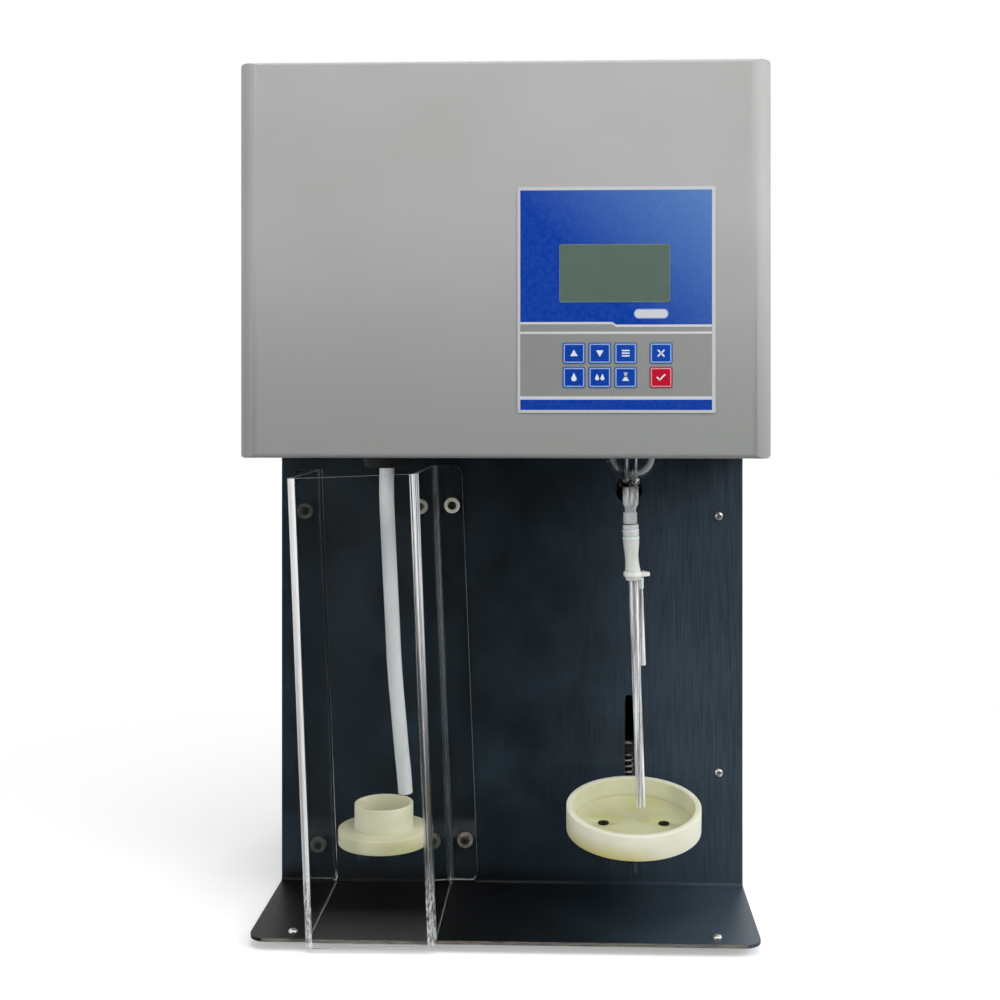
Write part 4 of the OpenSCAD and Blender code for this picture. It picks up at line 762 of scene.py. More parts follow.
# A front face in the first finish, with a rim of the given width in the second
def frame_front(shape, width):
    front = front_faces(shape)
    inset(shape, front, width)
    return paint(shape, lambda face, *centre: 0 if face in front else 1)


pill = bmesh.new()
add_block(pill, (108.2, -196.86, 527.6), (136.7, -196.78, 535.7))
pill = frame_front(round_corners(pill, 3.9, 10), 0.7)
pill_rim = printed("pale blue print", (120, 150, 205), (140, 168, 214))
add_piece("blank_label_place", pill, [film_light, pill_rim], "hood_assembly", "overlay_print")


# Display: greenish grey liquid crystal panel behind a flat clear window. The window's edge catches light
# as a narrow paler rim.
lcd_green = new_finish("display green", (86, 104, 94), 0.28, IOR=1.5)
mottle(grain(lcd_green, 0.02, 2), (84, 102, 93), (88, 106, 97))
lcd_edge = new_finish("display edge", (120, 138, 142), 0.3)
mottle(grain(lcd_edge, 0.01, 2), (110, 128, 132), (132, 150, 154))
window = frame_front(from_cad("lcd_window"), 0.45)
add_piece(
    "display_window", window, [lcd_green, lcd_edge], "hood_assembly", "lcd_face", "lcd_window", split=20
)


# Control board: green circuit board behind the keys. Its front carries the display module in a dark metal
# frame and the keys' contact domes, its back a chip and a pale cable socket.
solder_mask = new_finish("green solder mask", (34, 98, 56), 0.35)
tracks = grain(solder_mask, (0.0015, 0.0015, 0.012), 1)
mottle(tracks, (24, 82, 44), (44, 116, 68))
relief(tracks, 0.0001, 0.5)
frame_metal = new_finish("dark frame metal", (58, 60, 64), 0.35, metal=0.9)
mottle(grain(frame_metal, 0.003), (48, 50, 54), (74, 76, 80))
dome_steel = new_finish("contact dome steel", (190, 192, 194), 0.28, metal=1.0)
roughen(grain(dome_steel, 0.0005), 0.2, 0.4)
socket_plastic = new_finish("pale socket plastic", (222, 216, 198), 0.45)
relief(grain(socket_plastic, 0.0005), 0.00005, 0.4)
board_front, board_back = -187.75, -186.05


def board_finish(face, x, y, z):
    if y < board_front:
        return 1 if z > 530 else 2
    if y > board_back:
        return 3 if z < 540 else 4
    return 0


add_piece(
    "control_circuit", paint(from_cad("control_board"), board_finish),
    [solder_mask, frame_metal, dome_steel, socket_plastic, black_plastic], "hood_assembly", "board_green",
    "control_board", split=20,
)


# Keys: embossed film caps in blue and one in red, each with a pale frame, a white sign and a plunger
# behind. The signs are of a generic kind, built of bars and discs.
def add_prism(shape, sides, radius, depth, place=Matrix.Identity(4)):
    size = radius * mm
    return bmesh.ops.create_cone(
        shape, cap_ends=True, segments=sides, radius1=size, radius2=size, depth=depth * mm, matrix=place
    )["verts"]


def add_bar(shape, width, height, depth, place):
    scale = Matrix.Diagonal((width * mm, height * mm, depth * mm, 1))
    bmesh.ops.create_cube(shape, size=1, matrix=place @ scale)
    return shape


def bar(width, height, x=0.0, y=0.0, turn=0.0):
    return add_bar(bmesh.new(), width, height, sign_depth, at(x, y, 0) @ turned(turn, "Z"))


# A disc or triangle; a pull draws its upper half out to a drop's tip
def disc(radius, x=0.0, y=0.0, sides=24, turn=0.0, pull=0.0):
    shape = bmesh.new()
    for v in add_prism(shape, sides, radius, sign_depth):
        if pull and v.co.y > 0:
            share = min(1, v.co.y / (radius * mm))
            v.co.x *= (1 - share) ** 0.6
            v.co.y += pull * mm * share**1.5
    return move(shape, at(x, y, 0) @ turned(turn, "Z"))


sign_depth = 0.1
signs = {
    "key_up": [disc(3.6, y=-0.6, sides=3)],
    "key_down": [disc(3.6, y=0.6, sides=3, turn=180)],
    "key_function": [bar(6.4, 1.1, y=2.2), bar(6.4, 1.1), bar(6.4, 1.1, y=-2.2)],
    "key_cancel": [bar(7.6, 1.2, turn=45), bar(7.6, 1.2, turn=-45)],
    "key_acid": [disc(2.3, y=-0.9, pull=2.6)],
    "key_alkali": [disc(1.7, x=-2.2, y=-0.7, pull=2.0), disc(1.7, x=2.2, y=-0.7, pull=2.0)],
    "key_distil": [disc(3.3, y=-1.2, sides=3), bar(1.7, 3.6, y=1.9), bar(3.0, 0.8, y=3.6)],
    "key_confirm": [bar(3.6, 1.2, x=-2.3, y=-0.9, turn=-45), bar(6.6, 1.2, x=1.0, y=0.15, turn=45)],
}
key_columns, key_rows = (49.5, 70.85, 92.2, 121.4), (490.5, 470.5)
key_w, key_h, key_front, board_face = 18.4, 17.1, -197.3, -190.5
key_rim = printed("key rim blue", (52, 100, 180), (92, 132, 196))
key_blue = printed("key blue", (8, 58, 156), (34, 88, 180), 0.26)
key_frame = printed("key frame", (150, 172, 208), (170, 188, 216))
key_red = printed("key red", (176, 16, 40), (200, 30, 58), 0.26)
red_rim = printed("red key rim", (168, 44, 66), (190, 70, 92))
red_frame = printed("red key frame", (208, 150, 162), (220, 168, 178))
key_sign = printed("white print", (214, 222, 234), (232, 236, 242))
for i, (node, marks) in enumerate(signs.items()):
    x, z = key_columns[i % 4], key_rows[i // 4]
    mid_x, mid_z = x + key_w / 2, z + key_h / 2
    cap, plunger = bmesh.new(), bmesh.new()
    add_block(cap, (x, key_front, z), (x + key_w, key_front + 1.8, z + key_h))
    round_corners(cap, 2, 8)
    front = front_faces(cap)
    rim = inset(cap, front, 0.85)
    pale = inset(cap, front, 0.75)
    inset(cap, front, 0.25, 0.12)
    paint(cap, lambda face, *centre: 2 if face in pale else 1 if face in rim or face.normal.y > -0.5 else 0)
    sign = move(merge_shapes(*marks), at(mid_x, key_front - 0.1, mid_z) @ turned(90, "X"))
    paint(sign, lambda *face: 3)
    add_block(plunger, (mid_x - 3, key_front + 1.7, mid_z - 3), (mid_x + 3, board_face, mid_z + 3))
    paint(plunger, lambda *face: 1)
    red = node == "key_confirm"
    tints = [key_red, red_rim, red_frame, key_sign] if red else [key_blue, key_rim, key_frame, key_sign]
    add_piece(
        node + "_cap", merge_shapes(cap, sign, plunger), tints, node + "_button",
        "key_red" if red else "key_blue", node, split=20,
    )


# Guard: clear acrylic sheet, bent hot into a hat section that stands in front of the digestion tube. Its
# bends are hazy from the heat, and are made whiter still, high up on the left and in streaks on the right,
# as a painted reflection. Its cut edges are matt. It leans two degrees to the left.
guard_lean = math.radians(2.25)
guard_frame = at(-118, 0, 201.5) @ Matrix.Rotation(-guard_lean, 4, "Y")
acrylic_clear = new_finish("clear acrylic", (0.975, 0.99, 0.985), 0.0, IOR=1.49, Transmission_Weight=1.0)
# Lamp light passes through the sheet and is dimmed a little
shadow_ray = add_node(acrylic_clear.node_tree, "LightPath", {}).outputs["Is Shadow Ray"]
feed("Alpha", compute("MULTIPLY_ADD", shadow_ray, -0.85, 1.0))

acrylic_bend = new_finish("heated acrylic", (0.95, 0.955, 0.955), 0.3, IOR=1.49, Transmission_Weight=0.72)
streaks = grain(acrylic_bend, (0.0013, 0.0013, 0.3), 4, 0.7, guard_lean)
specks = grain(acrylic_bend, (0.0018, 0.0018, 0.005), 5, 0.75)
roughen(streaks, 0.05, 0.4)
# Painted reflection on top of the heat haze: the bends let less light through, and so show whiter, high up
# and most of all on the left
left_share = fade(acrylic_bend, -0.15, -0.1, "X")
foot_share = fade(acrylic_bend, 0.035, 0.085)
low_share = fade(acrylic_bend, 0.14, 0.34)
rear_share = fade(acrylic_bend, -0.075, -0.11, "Y")
left_clear = blend_value(low_share, 0.08, spread_range(streaks, 0.75, 0.4))
right_high = spread_range(streaks, 1.0, 0.15, 0.44, 0.58)
right_clear = blend_value(low_share, right_high, spread_range(streaks, 1.0, 0.92))
upper = blend_value(left_share, right_clear, left_clear)
frost_and_painted_reflection = blend_value(foot_share, upper, spread_range(specks, 1.0, 0.35, 0.42, 0.6))
rear_clear = blend_value(low_share, spread_range(streaks, 0.97, 0.82), 0.97)
rear_clear = blend_value(left_share, rear_clear, 1.0)
feed("Transmission Weight", blend_value(rear_share, frost_and_painted_reflection, rear_clear))
relief(streaks, 0.0004, 0.5)

acrylic_cut = new_finish("sawn acrylic edge", (0.86, 0.93, 0.91), 0.35, IOR=1.49, Transmission_Weight=0.6)
roughen(grain(acrylic_cut, 0.002), 0.2, 0.5)
relief(grain(acrylic_cut, 0.0012), 0.0001, 0.4)
flange_x, flange_y, side_y = 59, -65, -80
bend_x, bend_y, bend_radius = 48, -193.5, 5


# The sheet's faces in the guard's own upright frame: cut edges, bends and flats
def guard_finish(face, *centre):
    way = guard_frame.to_3x3().inverted() @ face.normal
    spot = guard_frame.inverted() @ (Vector(centre) * mm) / mm
    on_flange = abs(spot.x) > flange_x and spot.y > flange_y
    if abs(way.z) > 0.5 or (on_flange and abs(way.y) < 0.5):
        return 2
    off_front_bend = math.hypot(abs(spot.x) - bend_x, spot.y - bend_y) > bend_radius
    return 1 if 0.02 < abs(way.x) < 0.9998 and (spot.y > side_y or off_front_bend) else 0


guard_sheet = add_piece(
    "bent_acrylic_guard", paint(from_cad("guard"), guard_finish), [acrylic_clear, acrylic_bend, acrylic_cut],
    "guard_assembly", "clear_acrylic", "guard", split=30,
)
guard_sheet.modifiers.new("flat sheets", "WEIGHTED_NORMAL").keep_sharp = True


# Guard washers: four turned cream nylon washers, recessed for the screws' heads. The three that sit low or on
# the left are darker, in speckles.
def repeat_shape(shape, places):
    mesh = bpy.data.meshes.new("repeated")
    shape.to_mesh(mesh)
    shape.free()
    whole = bmesh.new()
    for place in places:
        count = len(whole.verts)
        whole.from_mesh(mesh)
        bmesh.ops.transform(whole, matrix=place, verts=whole.verts[count:])
    bpy.data.meshes.remove(mesh)
    return whole


washer_nylon = new_finish("cream washer nylon", (226, 221, 203), 0.4, waxy=(0.2, 0.002))
cream = mottle(grain(washer_nylon, 0.004), (216, 210, 190), (240, 236, 222))
# Darker by place alone: the washers low down and on the left
low_or_left = compute("MAXIMUM", fade(washer_nylon, 0.1, 0.2), fade(washer_nylon, -0.15, -0.1, "X"))
darkened = multiply(low_or_left, spread_range(grain(washer_nylon, 0.003), 0.95, 0.7))
blend_tone(cream, darkened, (58, 60, 46))
relief(grain(washer_nylon, 0.0008), 0.0001, 0.4)
screw_places = [
    guard_frame @ at(across, -64.2, up) @ turned(90, "X") for across in (-70, 70) for up in (-152.5, 158)
]
profile = [(2.15, 0), (7.25, 0), (7.25, 2.5), (6.8, 3), (4.2, 3), (3.8, 2.6), (3.8, 1), (2.15, 1)]
washers = repeat_shape(turn_shape(profile, steps=56), screw_places)
add_piece("cream_guard_washers", washers, [washer_nylon], "guard_assembly", "bright_washer", "guard_washers")


# Guard screws: blackened socket screws through the washers into the panel. The oxide is worn bright on
# their rims.
worn_black = new_finish("worn black oxide", (40, 39, 38), 0.3, metal=0.9)
mottle(grain(worn_black, 0.0012, 4), (28, 28, 28), (96, 94, 90))
roughen(grain(worn_black, 0.0008), 0.2, 0.45)


def socket_screw(outline, across, top, deep, steps=40):
    socket = bmesh.new()
    add_prism(socket, 6, across, deep, at(0, 0, top - deep / 2 + 0.05))
    return carve(turn_shape(outline, steps=steps), socket)


profile = [
    (0, 4.5), (2.7, 4.5), (3.2, 4.3), (3.5, 3.9), (3.5, 1), (2, 1), (2, -12.7), (1.5, -13.2), (0, -13.2),
]
guard_screws = repeat_shape(socket_screw(profile, 1.75, 4.5, 2.5), screw_places)
add_piece("guard_socket_screws", guard_screws, [worn_black], "guard_assembly", "dark_screw", "guard_screws")


# Case screws: plated button heads with a hex socket, in the panel, plate, shelf and back. The groups
# differ in the length of their shanks.
plated_head = new_finish("bright plated steel", (205, 205, 200), 0.3, metal=0.85)
roughen(grain(plated_head, 0.0006), 0.2, 0.42)
groups = {
    7: [((x, -181.4, 11), 0) for x in (-178.5, 178.5)],
    6: [((x, 150, 10), 0) for x in (-178.5, 178.5)],
    8: [((192.5, -60, z), 90) for z in (115, 352.6)]
    + [((x, 180, z), -90) for x in (-204.5, 204.5) for z in (38, 228, 403)],
    10: [((x, -63.2, 426), 90) for x in (-160, 0, 160)],
}
head_profile = [(0, 2.4), (1.9, 2.4), (2.8, 2.15), (3.5, 1.6), (3.9, 0.9), (4, 0.3), (4, 0), (2, 0)]
heads = []
for shank, places in groups.items():
    profile = [*head_profile, (2, 0.4 - shank), (1.6, -shank), (0, -shank)]
    places = [at(*spot) @ turned(turn, "X") for spot, turn in places]
    heads.append(repeat_shape(socket_screw(profile, 1.6, 2.4, 1.5), places))
add_piece("button_head_screws", merge_shapes(*heads), [plated_head], "frame", "screw_steel", "case_screws")


# Boiler: welded stainless tank on three legs that makes the steam, with a bolted lid, an outlet stem and a
# safety valve.
boiler_x, boiler_y = -106, 70
stainless = new_finish("brushed stainless", (184, 187, 190), 0.32, metal=1.0)
drawn = grain(stainless, (0.03, 0.03, 0.0007), 4)
roughen(drawn, 0.22, 0.45)
mottle(drawn, (166, 169, 172), (196, 199, 201))
relief(drawn, 0.0001, 0.3)
dress("boiler", stainless, edge=0.6)
heat_tint = new_finish("weld bead", (150, 140, 128), 0.4, metal=1.0)
mottle(grain(heat_tint, 0.003), (112, 98, 92), (176, 166, 150))
relief(grain(heat_tint, 0.0015, 2), 0.0004, 0.8)
beads = []
for z in (40, 243):
    profile = [(62, z - 1.4), (62.6, z - 1), (62.9, z), (62.6, z + 1), (62, z + 1.4)]
    beads.append(turn_shape(profile, at(boiler_x, boiler_y, 0)))
add_piece("boiler_weld_beads", merge_shapes(*beads), [heat_tint], "frame", "stainless")
lid_top, bolt_circle, bolt_count = 254, 55, 8
bolts = [
    at(boiler_x, boiler_y, lid_top) @ turned(360 * (i + 0.5) / bolt_count, "Z") @ at(bolt_circle, 0, 0)
    for i in range(bolt_count)
]
bolt = bmesh.new()
add_prism(bolt, 6, 5, 3.6, at(0, 0, 1.8))
bolts = repeat_shape(soften(bolt, 0.4, 2), bolts)
add_piece("boiler_lid_bolts", bolts, [plated_head], "frame", "stainless")


# Heater: stainless sheathed element, bent in a U through the boiler's lid, with a glazed ceramic bead and a
# nut at each end.
dress("heater", stainless)
ceramic = new_finish("glazed ceramic", (232, 228, 216), 0.18)
mottle(grain(ceramic, 0.006), (224, 219, 204), (238, 236, 228))
profile = [(4.1, 254.2), (6.6, 254.2), (6.8, 255), (6.4, 259), (5.6, 262), (5, 262.4), (4.1, 262.4)]
beads = repeat_shape(turn_shape(profile, steps=40), [at(x, 46, 0) for x in (-142, -120)])
add_piece("heater_ceramic_beads", beads, [ceramic], "frame", "stainless")


# Steam pipe: insulated silicone hose from the boiler's stem up to the splash head. It is bent once, above
# the boiler.
def bent_route(points, bend, step=6):
    points = [Vector(p) for p in points]
    route, reached = [points[0]], points[0]
    for before, corner, after in zip(points, points[1:], points[2:]):
        back, on = (before - corner).normalized(), (after - corner).normalized()
        half = back.angle(on) / 2
        start = corner + back * bend / math.tan(half)
        end = corner + on * bend / math.tan(half)
        centre = corner + (back + on).normalized() * bend / math.sin(half)
        count = max(1, round((start - reached).length / step))
        route += [reached.lerp(start, k / count) for k in range(1, count)]
        first, last = (start - centre).normalized(), (end - centre).normalized()
        route += [centre + first.slerp(last, k / 10) * bend for k in range(11)]
        reached = route[-1]
    count = max(1, round((points[-1] - reached).length / step))
    return route + [reached.lerp(points[-1], k / count) for k in range(1, count + 1)]


# A hose that swells a little where it is pushed over a nozzle at each end
def pushed_hose(route, radius, bore, swell=0.35, reach=12):
    length = route_length(route)
    return draw_hose(route, lambda t: radius + swell * max(0, 1 - min(t, 1 - t) * length / reach), bore)


steam_silicone = new_finish("steam silicone", (214, 208, 194), 0.5, waxy=(0.2, 0.003))
mottle(grain(steam_silicone, 0.004), (202, 195, 180), (224, 219, 207))
relief(grain(steam_silicone, 0.0012), 0.0002, 0.5)
splash_stem, boiler_stem = (tube_x, -116, 436), (boiler_x, boiler_y, 259)
steam_route = bent_route([splash_stem, (boiler_x, boiler_y, 436), boiler_stem], 20)
steam_pipe = pushed_hose(steam_route, 6.5, 4.5)
add_piece("insulated_steam_pipe", steam_pipe, [steam_silicone], "frame", "steam_silicone", "steam_pipe")


# Cooling hoses: clear hoses that carry water from one rear nozzle through the condenser's jacket to the
# other. Their ends are noted for the hose clips.
to_front, to_rear, up, down = (0, -1, 0), (0, 1, 0), (0, 0, 1), (0, 0, -1)
hose_ends = [(splash_stem, to_rear), (boiler_stem, up)]
cooling_x, out_x, nozzle_y = 108.3, 140, 168.4
cooling_routes = [
    [(cooling_x, -99, 445), (cooling_x, 110, 445), (cooling_x, 110, 330), (cooling_x, nozzle_y, 330)],
    [
        (cooling_x, -99, 630), (cooling_x, -20, 630), (out_x, -20, 630), (out_x, -20, 360),
        (out_x, nozzle_y, 360),
    ],
]
cooling = []
for points, bend in zip(cooling_routes, (16, 15)):
    cooling.append(pushed_hose(bent_route(points, bend), 6, 4.6))
    hose_ends += [(points[0], to_rear), (points[-1], to_front)]
add_piece("clear_cooling_hoses", merge_shapes(*cooling), [clear_hose], "frame", "clear_hose", "cooling_hoses")


# Dosing hoses: feed hoses from the rear nozzles to the two pumps, the alkali line to the splash head and
# the thin acid line to the acid tube.
pump_places, pump_y, pump_z, feed_z = (-12, 62), 26, 378, 118
dosing = []
for x in pump_places:
    points = [(x, nozzle_y, feed_z), (x, pump_y, feed_z), (x, pump_y, 347)]
    dosing.append(pushed_hose(bent_route(points, 14), 6, 4.6))
    hose_ends += [(points[0], to_front), (points[-1], down)]
alkali_line = bent_route(
    [
        (-43, pump_y, pump_z), (-75, pump_y, pump_z), (-75, pump_y, 436), (-75, tube_y, 436),
        (-89.8, tube_y, 436),
    ],
    8,
)
acid_line = bent_route(
    [
        (93, pump_y, pump_z), (110.5, pump_y, pump_z), (110.5, acid_y, pump_z), (110.5, acid_y, 308.9),
        (acid_x, acid_y, 308.9), (acid_x, acid_y, 293.5),
    ],
    3.4, step=4,
)
dosing += [draw_hose(alkali_line, 3, 2, 20), draw_hose(acid_line, 2, 1.1, 16)]
add_piece("clear_dosing_hoses", merge_shapes(*dosing), [clear_hose], "frame", "clear_hose", "dosing_hoses")


# Hose clips: sprung steel bands with two ears. They are pinched on wherever a hose is pushed on a nozzle
# or stem.
band = turn_shape([(6.45, 2), (7.1, 2), (7.1, 7), (6.45, 7)], steps=40)
ears = bmesh.new()
for side in (-1, 1):
    add_block(ears, (7, side * 2.1 - 0.5, 2.4), (10.2, side * 2.1 + 0.5, 6.6))
clip = merge_shapes(band, soften(ears, 0.2, 1))
clips = repeat_shape(clip, [at(*spot) @ swing((0, 0, 1), way) for spot, way in hose_ends])
add_piece("hose_clips", clips, [spring_steel], "frame", "spring_steel")


# Pump heads: moulded dark plastic cups on the bracket, with a stub for each hose. A rotor turns in each
# of the two cups.
grey_moulding = new_finish("dark grey moulding", (62, 66, 70), 0.45)
relief(grain(grey_moulding, 0.0007, 2), 0.0001, 0.4)
mottle(grain(grey_moulding, 0.02), (57, 61, 65), (68, 72, 76))
dress("pump_heads", grey_moulding, edge=0.6)


# Pump rotors: three cream acetal rollers on a hub that squeeze the hose as they turn. There is one for
# alkali and one for acid.
acetal = new_finish("cream acetal", (214, 209, 190), 0.35, waxy=(0.15, 0.002))
mottle(grain(acetal, 0.01), (206, 200, 180), (222, 218, 202))
for node in ("alkali_rotor", "acid_rotor"):
    dress(node, acetal, edge=0.4)


# Pump motors: geared direct-current motors in rolled steel cans behind the bracket. Each has a plastic end
# cap with two terminal tabs.
motor_can = new_finish("rolled motor can", (140, 144, 148), 0.35, metal=1.0)
rolled = grain(motor_can, (0.02, 0.0009, 0.02))
roughen(rolled, 0.25, 0.5)
mottle(rolled, (124, 128, 132), (156, 160, 163))
dress("pump_motors", motor_can, edge=0.8)
caps = []
for x in pump_places:
    profile = [(5.7, 0.05), (16.5, 0.05), (16.5, 1.6), (15.5, 2.6), (5.7, 2.6)]
    caps.append(turn_shape(profile, at(x, 94, pump_z) @ turned(-90, "X"), 48))
    tabs = bmesh.new()
    for side in (-1, 1):
        add_block(tabs, (x + side * 11 - 2.4, 96.4, 377.6), (x + side * 11 + 2.4, 103, 378.4))
    caps.append(tabs)
add_piece("motor_end_caps", merge_shapes(*caps), [grey_moulding], "frame", "black_plastic")


# Solenoid valves: brass bodies with pressed-in ports, black coils and steel coil nuts. They stand on the
# floor pan.
brass = new_finish("machined brass", (188, 152, 88), 0.28, metal=1.0)
tool_marks = grain(brass, (0.0008, 0.004, 0.0008))
roughen(tool_marks, 0.18, 0.4)
mottle(grain(brass, 0.01), (176, 138, 74), (200, 166, 102))
body_top, coil_top = 30.05, 58.05
valves = paint(from_cad("valves"), lambda face, x, y, z: 0 if z < body_top else 1 if z < coil_top else 2)
valves = soften(valves, 0.5, 2)
add_piece("solenoid_valves", valves, [brass, black_plastic, plated_head], "frame", "brass", "valves")


# Power supply: zinc-plated case with a pierced lid. A terminal strip with seven screws runs along its
# front.
dress("power_supply", zinc, edge=0.4)
case_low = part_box("power_supply")[0] / mm
lefts = [case_low.x + 8 + 12 * i for i in range(7)]
strip_y, strip_z = case_low.y - 7, case_low.z + 8
strip = bmesh.new()
for left in lefts:
    add_block(strip, (left, strip_y, strip_z), (left + 10, case_low.y - 0.1, strip_z + 14))
add_piece("supply_terminals", soften(strip, 0.5, 2), [black_plastic], "frame", "supply_case")
terminal = socket_screw([(0, 1.2), (2.6, 1.2), (3, 0.8), (3, -0.5), (0, -0.5)], 1.2, 1.2, 0.8, 24)
terminals = repeat_shape(terminal, [at(left + 5, strip_y, strip_z + 9) @ turned(90, "X") for left in lefts])
add_piece("supply_terminal_screws", terminals, [plated_head], "frame", "screw_steel")


# Power board: green board on brass stand-offs at the cabinet's right side, with four relays and a heat
# sink.
relay_blue = new_finish("relay housing", (32, 74, 138), 0.35)
mottle(grain(relay_blue, 0.01), (28, 66, 126), (38, 82, 150))
anodised = new_finish("black anodising", (34, 35, 37), 0.4, metal=0.6)
# Painted shade and highlight: the pattern that bumps in the fins also darkens their grooves and lightens
# their ridges
fins = grain(anodised, (0.01, 0.003, 0.01), 1)
relief(fins, 0.0008, 0.8)
mottle(fins, (24, 25, 27), (58, 60, 62))
board_left, board_right, relays_top = 205.35, 207.05, 200


def circuit_finish(face, x, y, z):
    return 3 if x > board_right else 0 if x > board_left else 1 if z < relays_top else 2


circuit = paint(from_cad("power_board"), circuit_finish)
tints = [solder_mask, relay_blue, anodised, brass]
add_piece("power_circuit", circuit, tints, "frame", "board_green", "power_board")


# Cooling fan: square frame in black glass-filled plastic with four spokes to its bearing, and a six-bladed
# wheel.
dress("fan_frame", black_plastic, edge=0.6)
fan_grey = new_finish("fan wheel plastic", (46, 49, 52), 0.38)
relief(grain(fan_grey, 0.0006, 2), 0.0001, 0.3)
mottle(grain(fan_grey, 0.012), (41, 44, 47), (52, 55, 58))
dress("fan_rotor", fan_grey, edge=0.4)


# Mains inlet: black moulding with three plated pins, a fuse drawer below and the switch's frame above.
# The pins are told from the moulding by their places.
inlet_x, inlet_z = -160, 80
pin_places = [(inlet_x + dx, inlet_z + dz) for dx, dz in ((-7, -7), (0, -3), (7, -7))]


def inlet_finish(face, x, y, z):
    is_pin = any(abs(x - pin_x) < 1.1 and abs(z - pin_z) < 2.1 for pin_x, pin_z in pin_places)
    return 1 if is_pin and 166.2 < y < 178.1 else 0


inlet = paint(from_cad("power_entry"), inlet_finish)
add_piece(
    "mains_inlet", inlet, [black_plastic, plated_head], "frame", "black_plastic", "power_entry", split=30
)


# Switch: black rocker above the mains inlet. A bar and a ring moulded in white mark its two sides, and at
# rest it is tilted to one of them.
dress("switch_rocker", black_plastic, edge=0.5)
face_up = at(inlet_x, 178, 98) @ turned(8, "X") @ at(0, 5, 0) @ turned(-90, "X")
mark_y = 3.4
profile = [(1.15, -0.1), (1.7, -0.1), (1.7, 0.06), (1.15, 0.06)]
ring_mark = turn_shape(profile, face_up @ at(0, mark_y, 0), 32)
bar_mark = add_bar(bmesh.new(), 0.6, 3.4, 0.12, face_up @ at(0, -mark_y, 0))
add_piece("rocker_marks", merge_shapes(ring_mark, bar_mark), [key_sign], "rocker", "black_plastic")


# Rear nozzles: turned brass hose nozzles with barbs. Each is held in the back by a hex collar and a nut.
# Two take the cooling hoses and two the pumps' feed hoses.
profile = [(3, 166.4), (3.8, 166.4), (4.5, 169.6), (3.9, 169.7), (4.5, 173), (4.5, 187)]
for start in (187, 191, 195):
    profile += [(3.8, start + 0.2), (4.5, start + 3.2)]
nozzle = turn_shape([*profile, (3.9, 200.5), (3, 200.5)], turned(-90, "X"), 36)
nuts = bmesh.new()
for middle in (176.4, 182):
    add_prism(nuts, 6, 8, 4, at(0, middle, 0) @ turned(90, "X"))
nozzle = merge_shapes(nozzle, soften(nuts, 0.5, 2))
places = [(cooling_x, 330), (out_x, 360), *((x, feed_z) for x in (-40, -12, 62, 25))]
nozzles = repeat_shape(nozzle, [at(x, 0, z) for x, z in places])
add_piece("brass_hose_nozzles", nozzles, [brass], "frame", "brass", "nozzles")


# Floor: a pale studio floor. The camera, glossy surfaces and clear parts see it as plain white, and the
# instrument's soft shadow stays on it.
grid = bmesh.new()
bmesh.ops.create_grid(grid, x_segments=1, y_segments=1, size=8)
floor = to_object("studio_floor", grid)
floor_paint = new_finish(
    "pale floor", (0.8, 0.8, 0.8), 0.9, Specular_IOR_Level=0.0, Emission_Color=(1, 1, 1, 1)
)
tree, spot = floor_paint.node_tree, own_place(floor_paint)
rays = add_node(tree, "LightPath", {}).outputs
room = spread_range(split_axes(spot)["Y"], 0.02, 1.0, -0.3, -0.12)
unlit = compute("LESS_THAN", rays["Diffuse Depth"], 0.5)
bounced = multiply(compute("GREATER_THAN", rays["Glossy Depth"], 0.5), unlit)
clear = multiply(rays["Is Transmission Ray"], compute("LESS_THAN", rays["Glossy Depth"], 0.5))
seen = compute("MAXIMUM", multiply(bounced, room), clear)
seen = multiply(compute("MAXIMUM", seen, rays["Is Camera Ray"]), unlit)
reach = add_node(tree, "VectorMath", {0: spot}, operation="LENGTH").outputs["Value"]
lift = spread_range(reach, 0.35, 1.0, 0.35, 1.0, interpolation_type="SMOOTHSTEP")
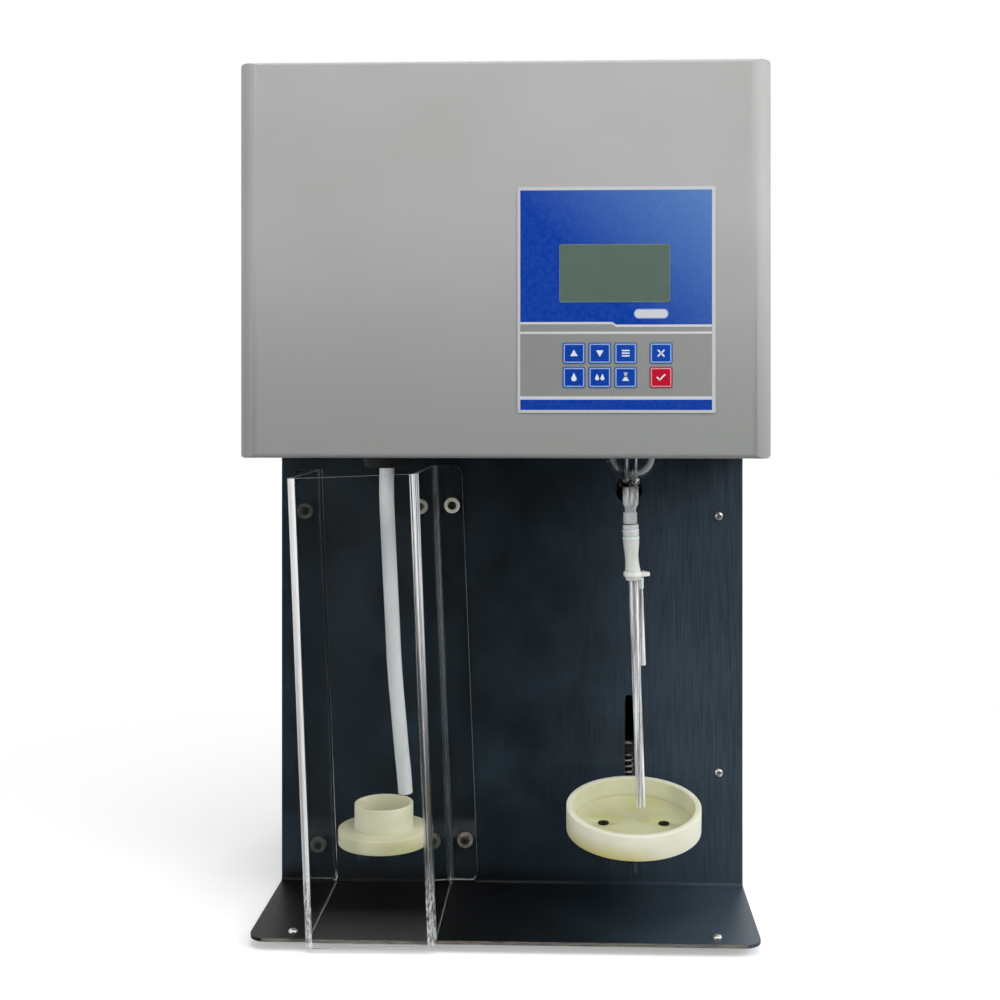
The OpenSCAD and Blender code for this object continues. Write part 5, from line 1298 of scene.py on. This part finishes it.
shade = spread_range(reach, 0.8, 0.0, 0.35, 1.0, interpolation_type="SMOOTHSTEP")
shade = multiply(shade, compute("MULTIPLY_ADD", bounced, compute("SUBTRACT", room, 1.0), 1.0))
feed("Base Color", add_node(tree, "CombineXYZ", dict.fromkeys("XYZ", shade)).outputs[0])
feed("Emission Strength", multiply(seen, lift))
floor.data.materials.append(floor_paint)


# World: white round the instrument for what is seen, a dim room behind the camera for what is mirrored,
# and an even light of about two fifths for the surfaces.
world = bpy.data.worlds.new("studio")
scene.world = world
world.use_nodes = True
tree = world.node_tree
tree.nodes.clear()
way = add_node(tree, "TexCoord", {}).outputs["Generated"]
room = spread_range(split_axes(way)["Y"], 0.06, 1.0, -0.85, -0.1)
rays = add_node(tree, "LightPath", {}).outputs
unlit = compute("LESS_THAN", rays["Diffuse Depth"], 0.5)
direct = compute("LESS_THAN", rays["Glossy Depth"], 0.5)
mirrored = multiply(rays["Is Glossy Ray"], unlit)
clear = multiply(multiply(rays["Is Transmission Ray"], unlit), direct)
strength = 0.42
for share, level in ((rays["Is Camera Ray"], 1.0), (mirrored, room), (clear, 1.0)):
    strength = blend_value(share, strength, level)
sky = add_node(tree, "Background", {"Color": (1, 1, 1, 1), "Strength": strength})
add_node(tree, "OutputWorld", {"Surface": sky.outputs[0]})


# Lights: large soft boxes in front, left and right, one at the right that lights the side, one high in
# front, close above the hood, and one behind. All are aimed at the middle of the instrument.
aim = Vector((0, 0, 0.45))
for name, place, size, power in (
    ("left_softbox", (-1.6, -1.8, 0.6), 1.0, 15),
    ("right_softbox", (1.25, -1.0, 1.15), 1.0, 14.5),
    ("side_softbox", (1.6, -0.1, 0.8), 0.8, 6),
    ("top_softbox", (0.05, -0.85, 1.75), 0.9, 11.5),
    ("back_softbox", (0.3, 1.9, 1.5), 1.2, 16),
):
    lamp = bpy.data.lights.new(name, "AREA")
    lamp.size = size
    lamp.energy = power
    box = bpy.data.objects.new(name, lamp)
    box.location = place
    box.rotation_euler = (aim - Vector(place)).to_track_quat("-Z", "Y").to_euler()
    scene.collection.objects.link(box)
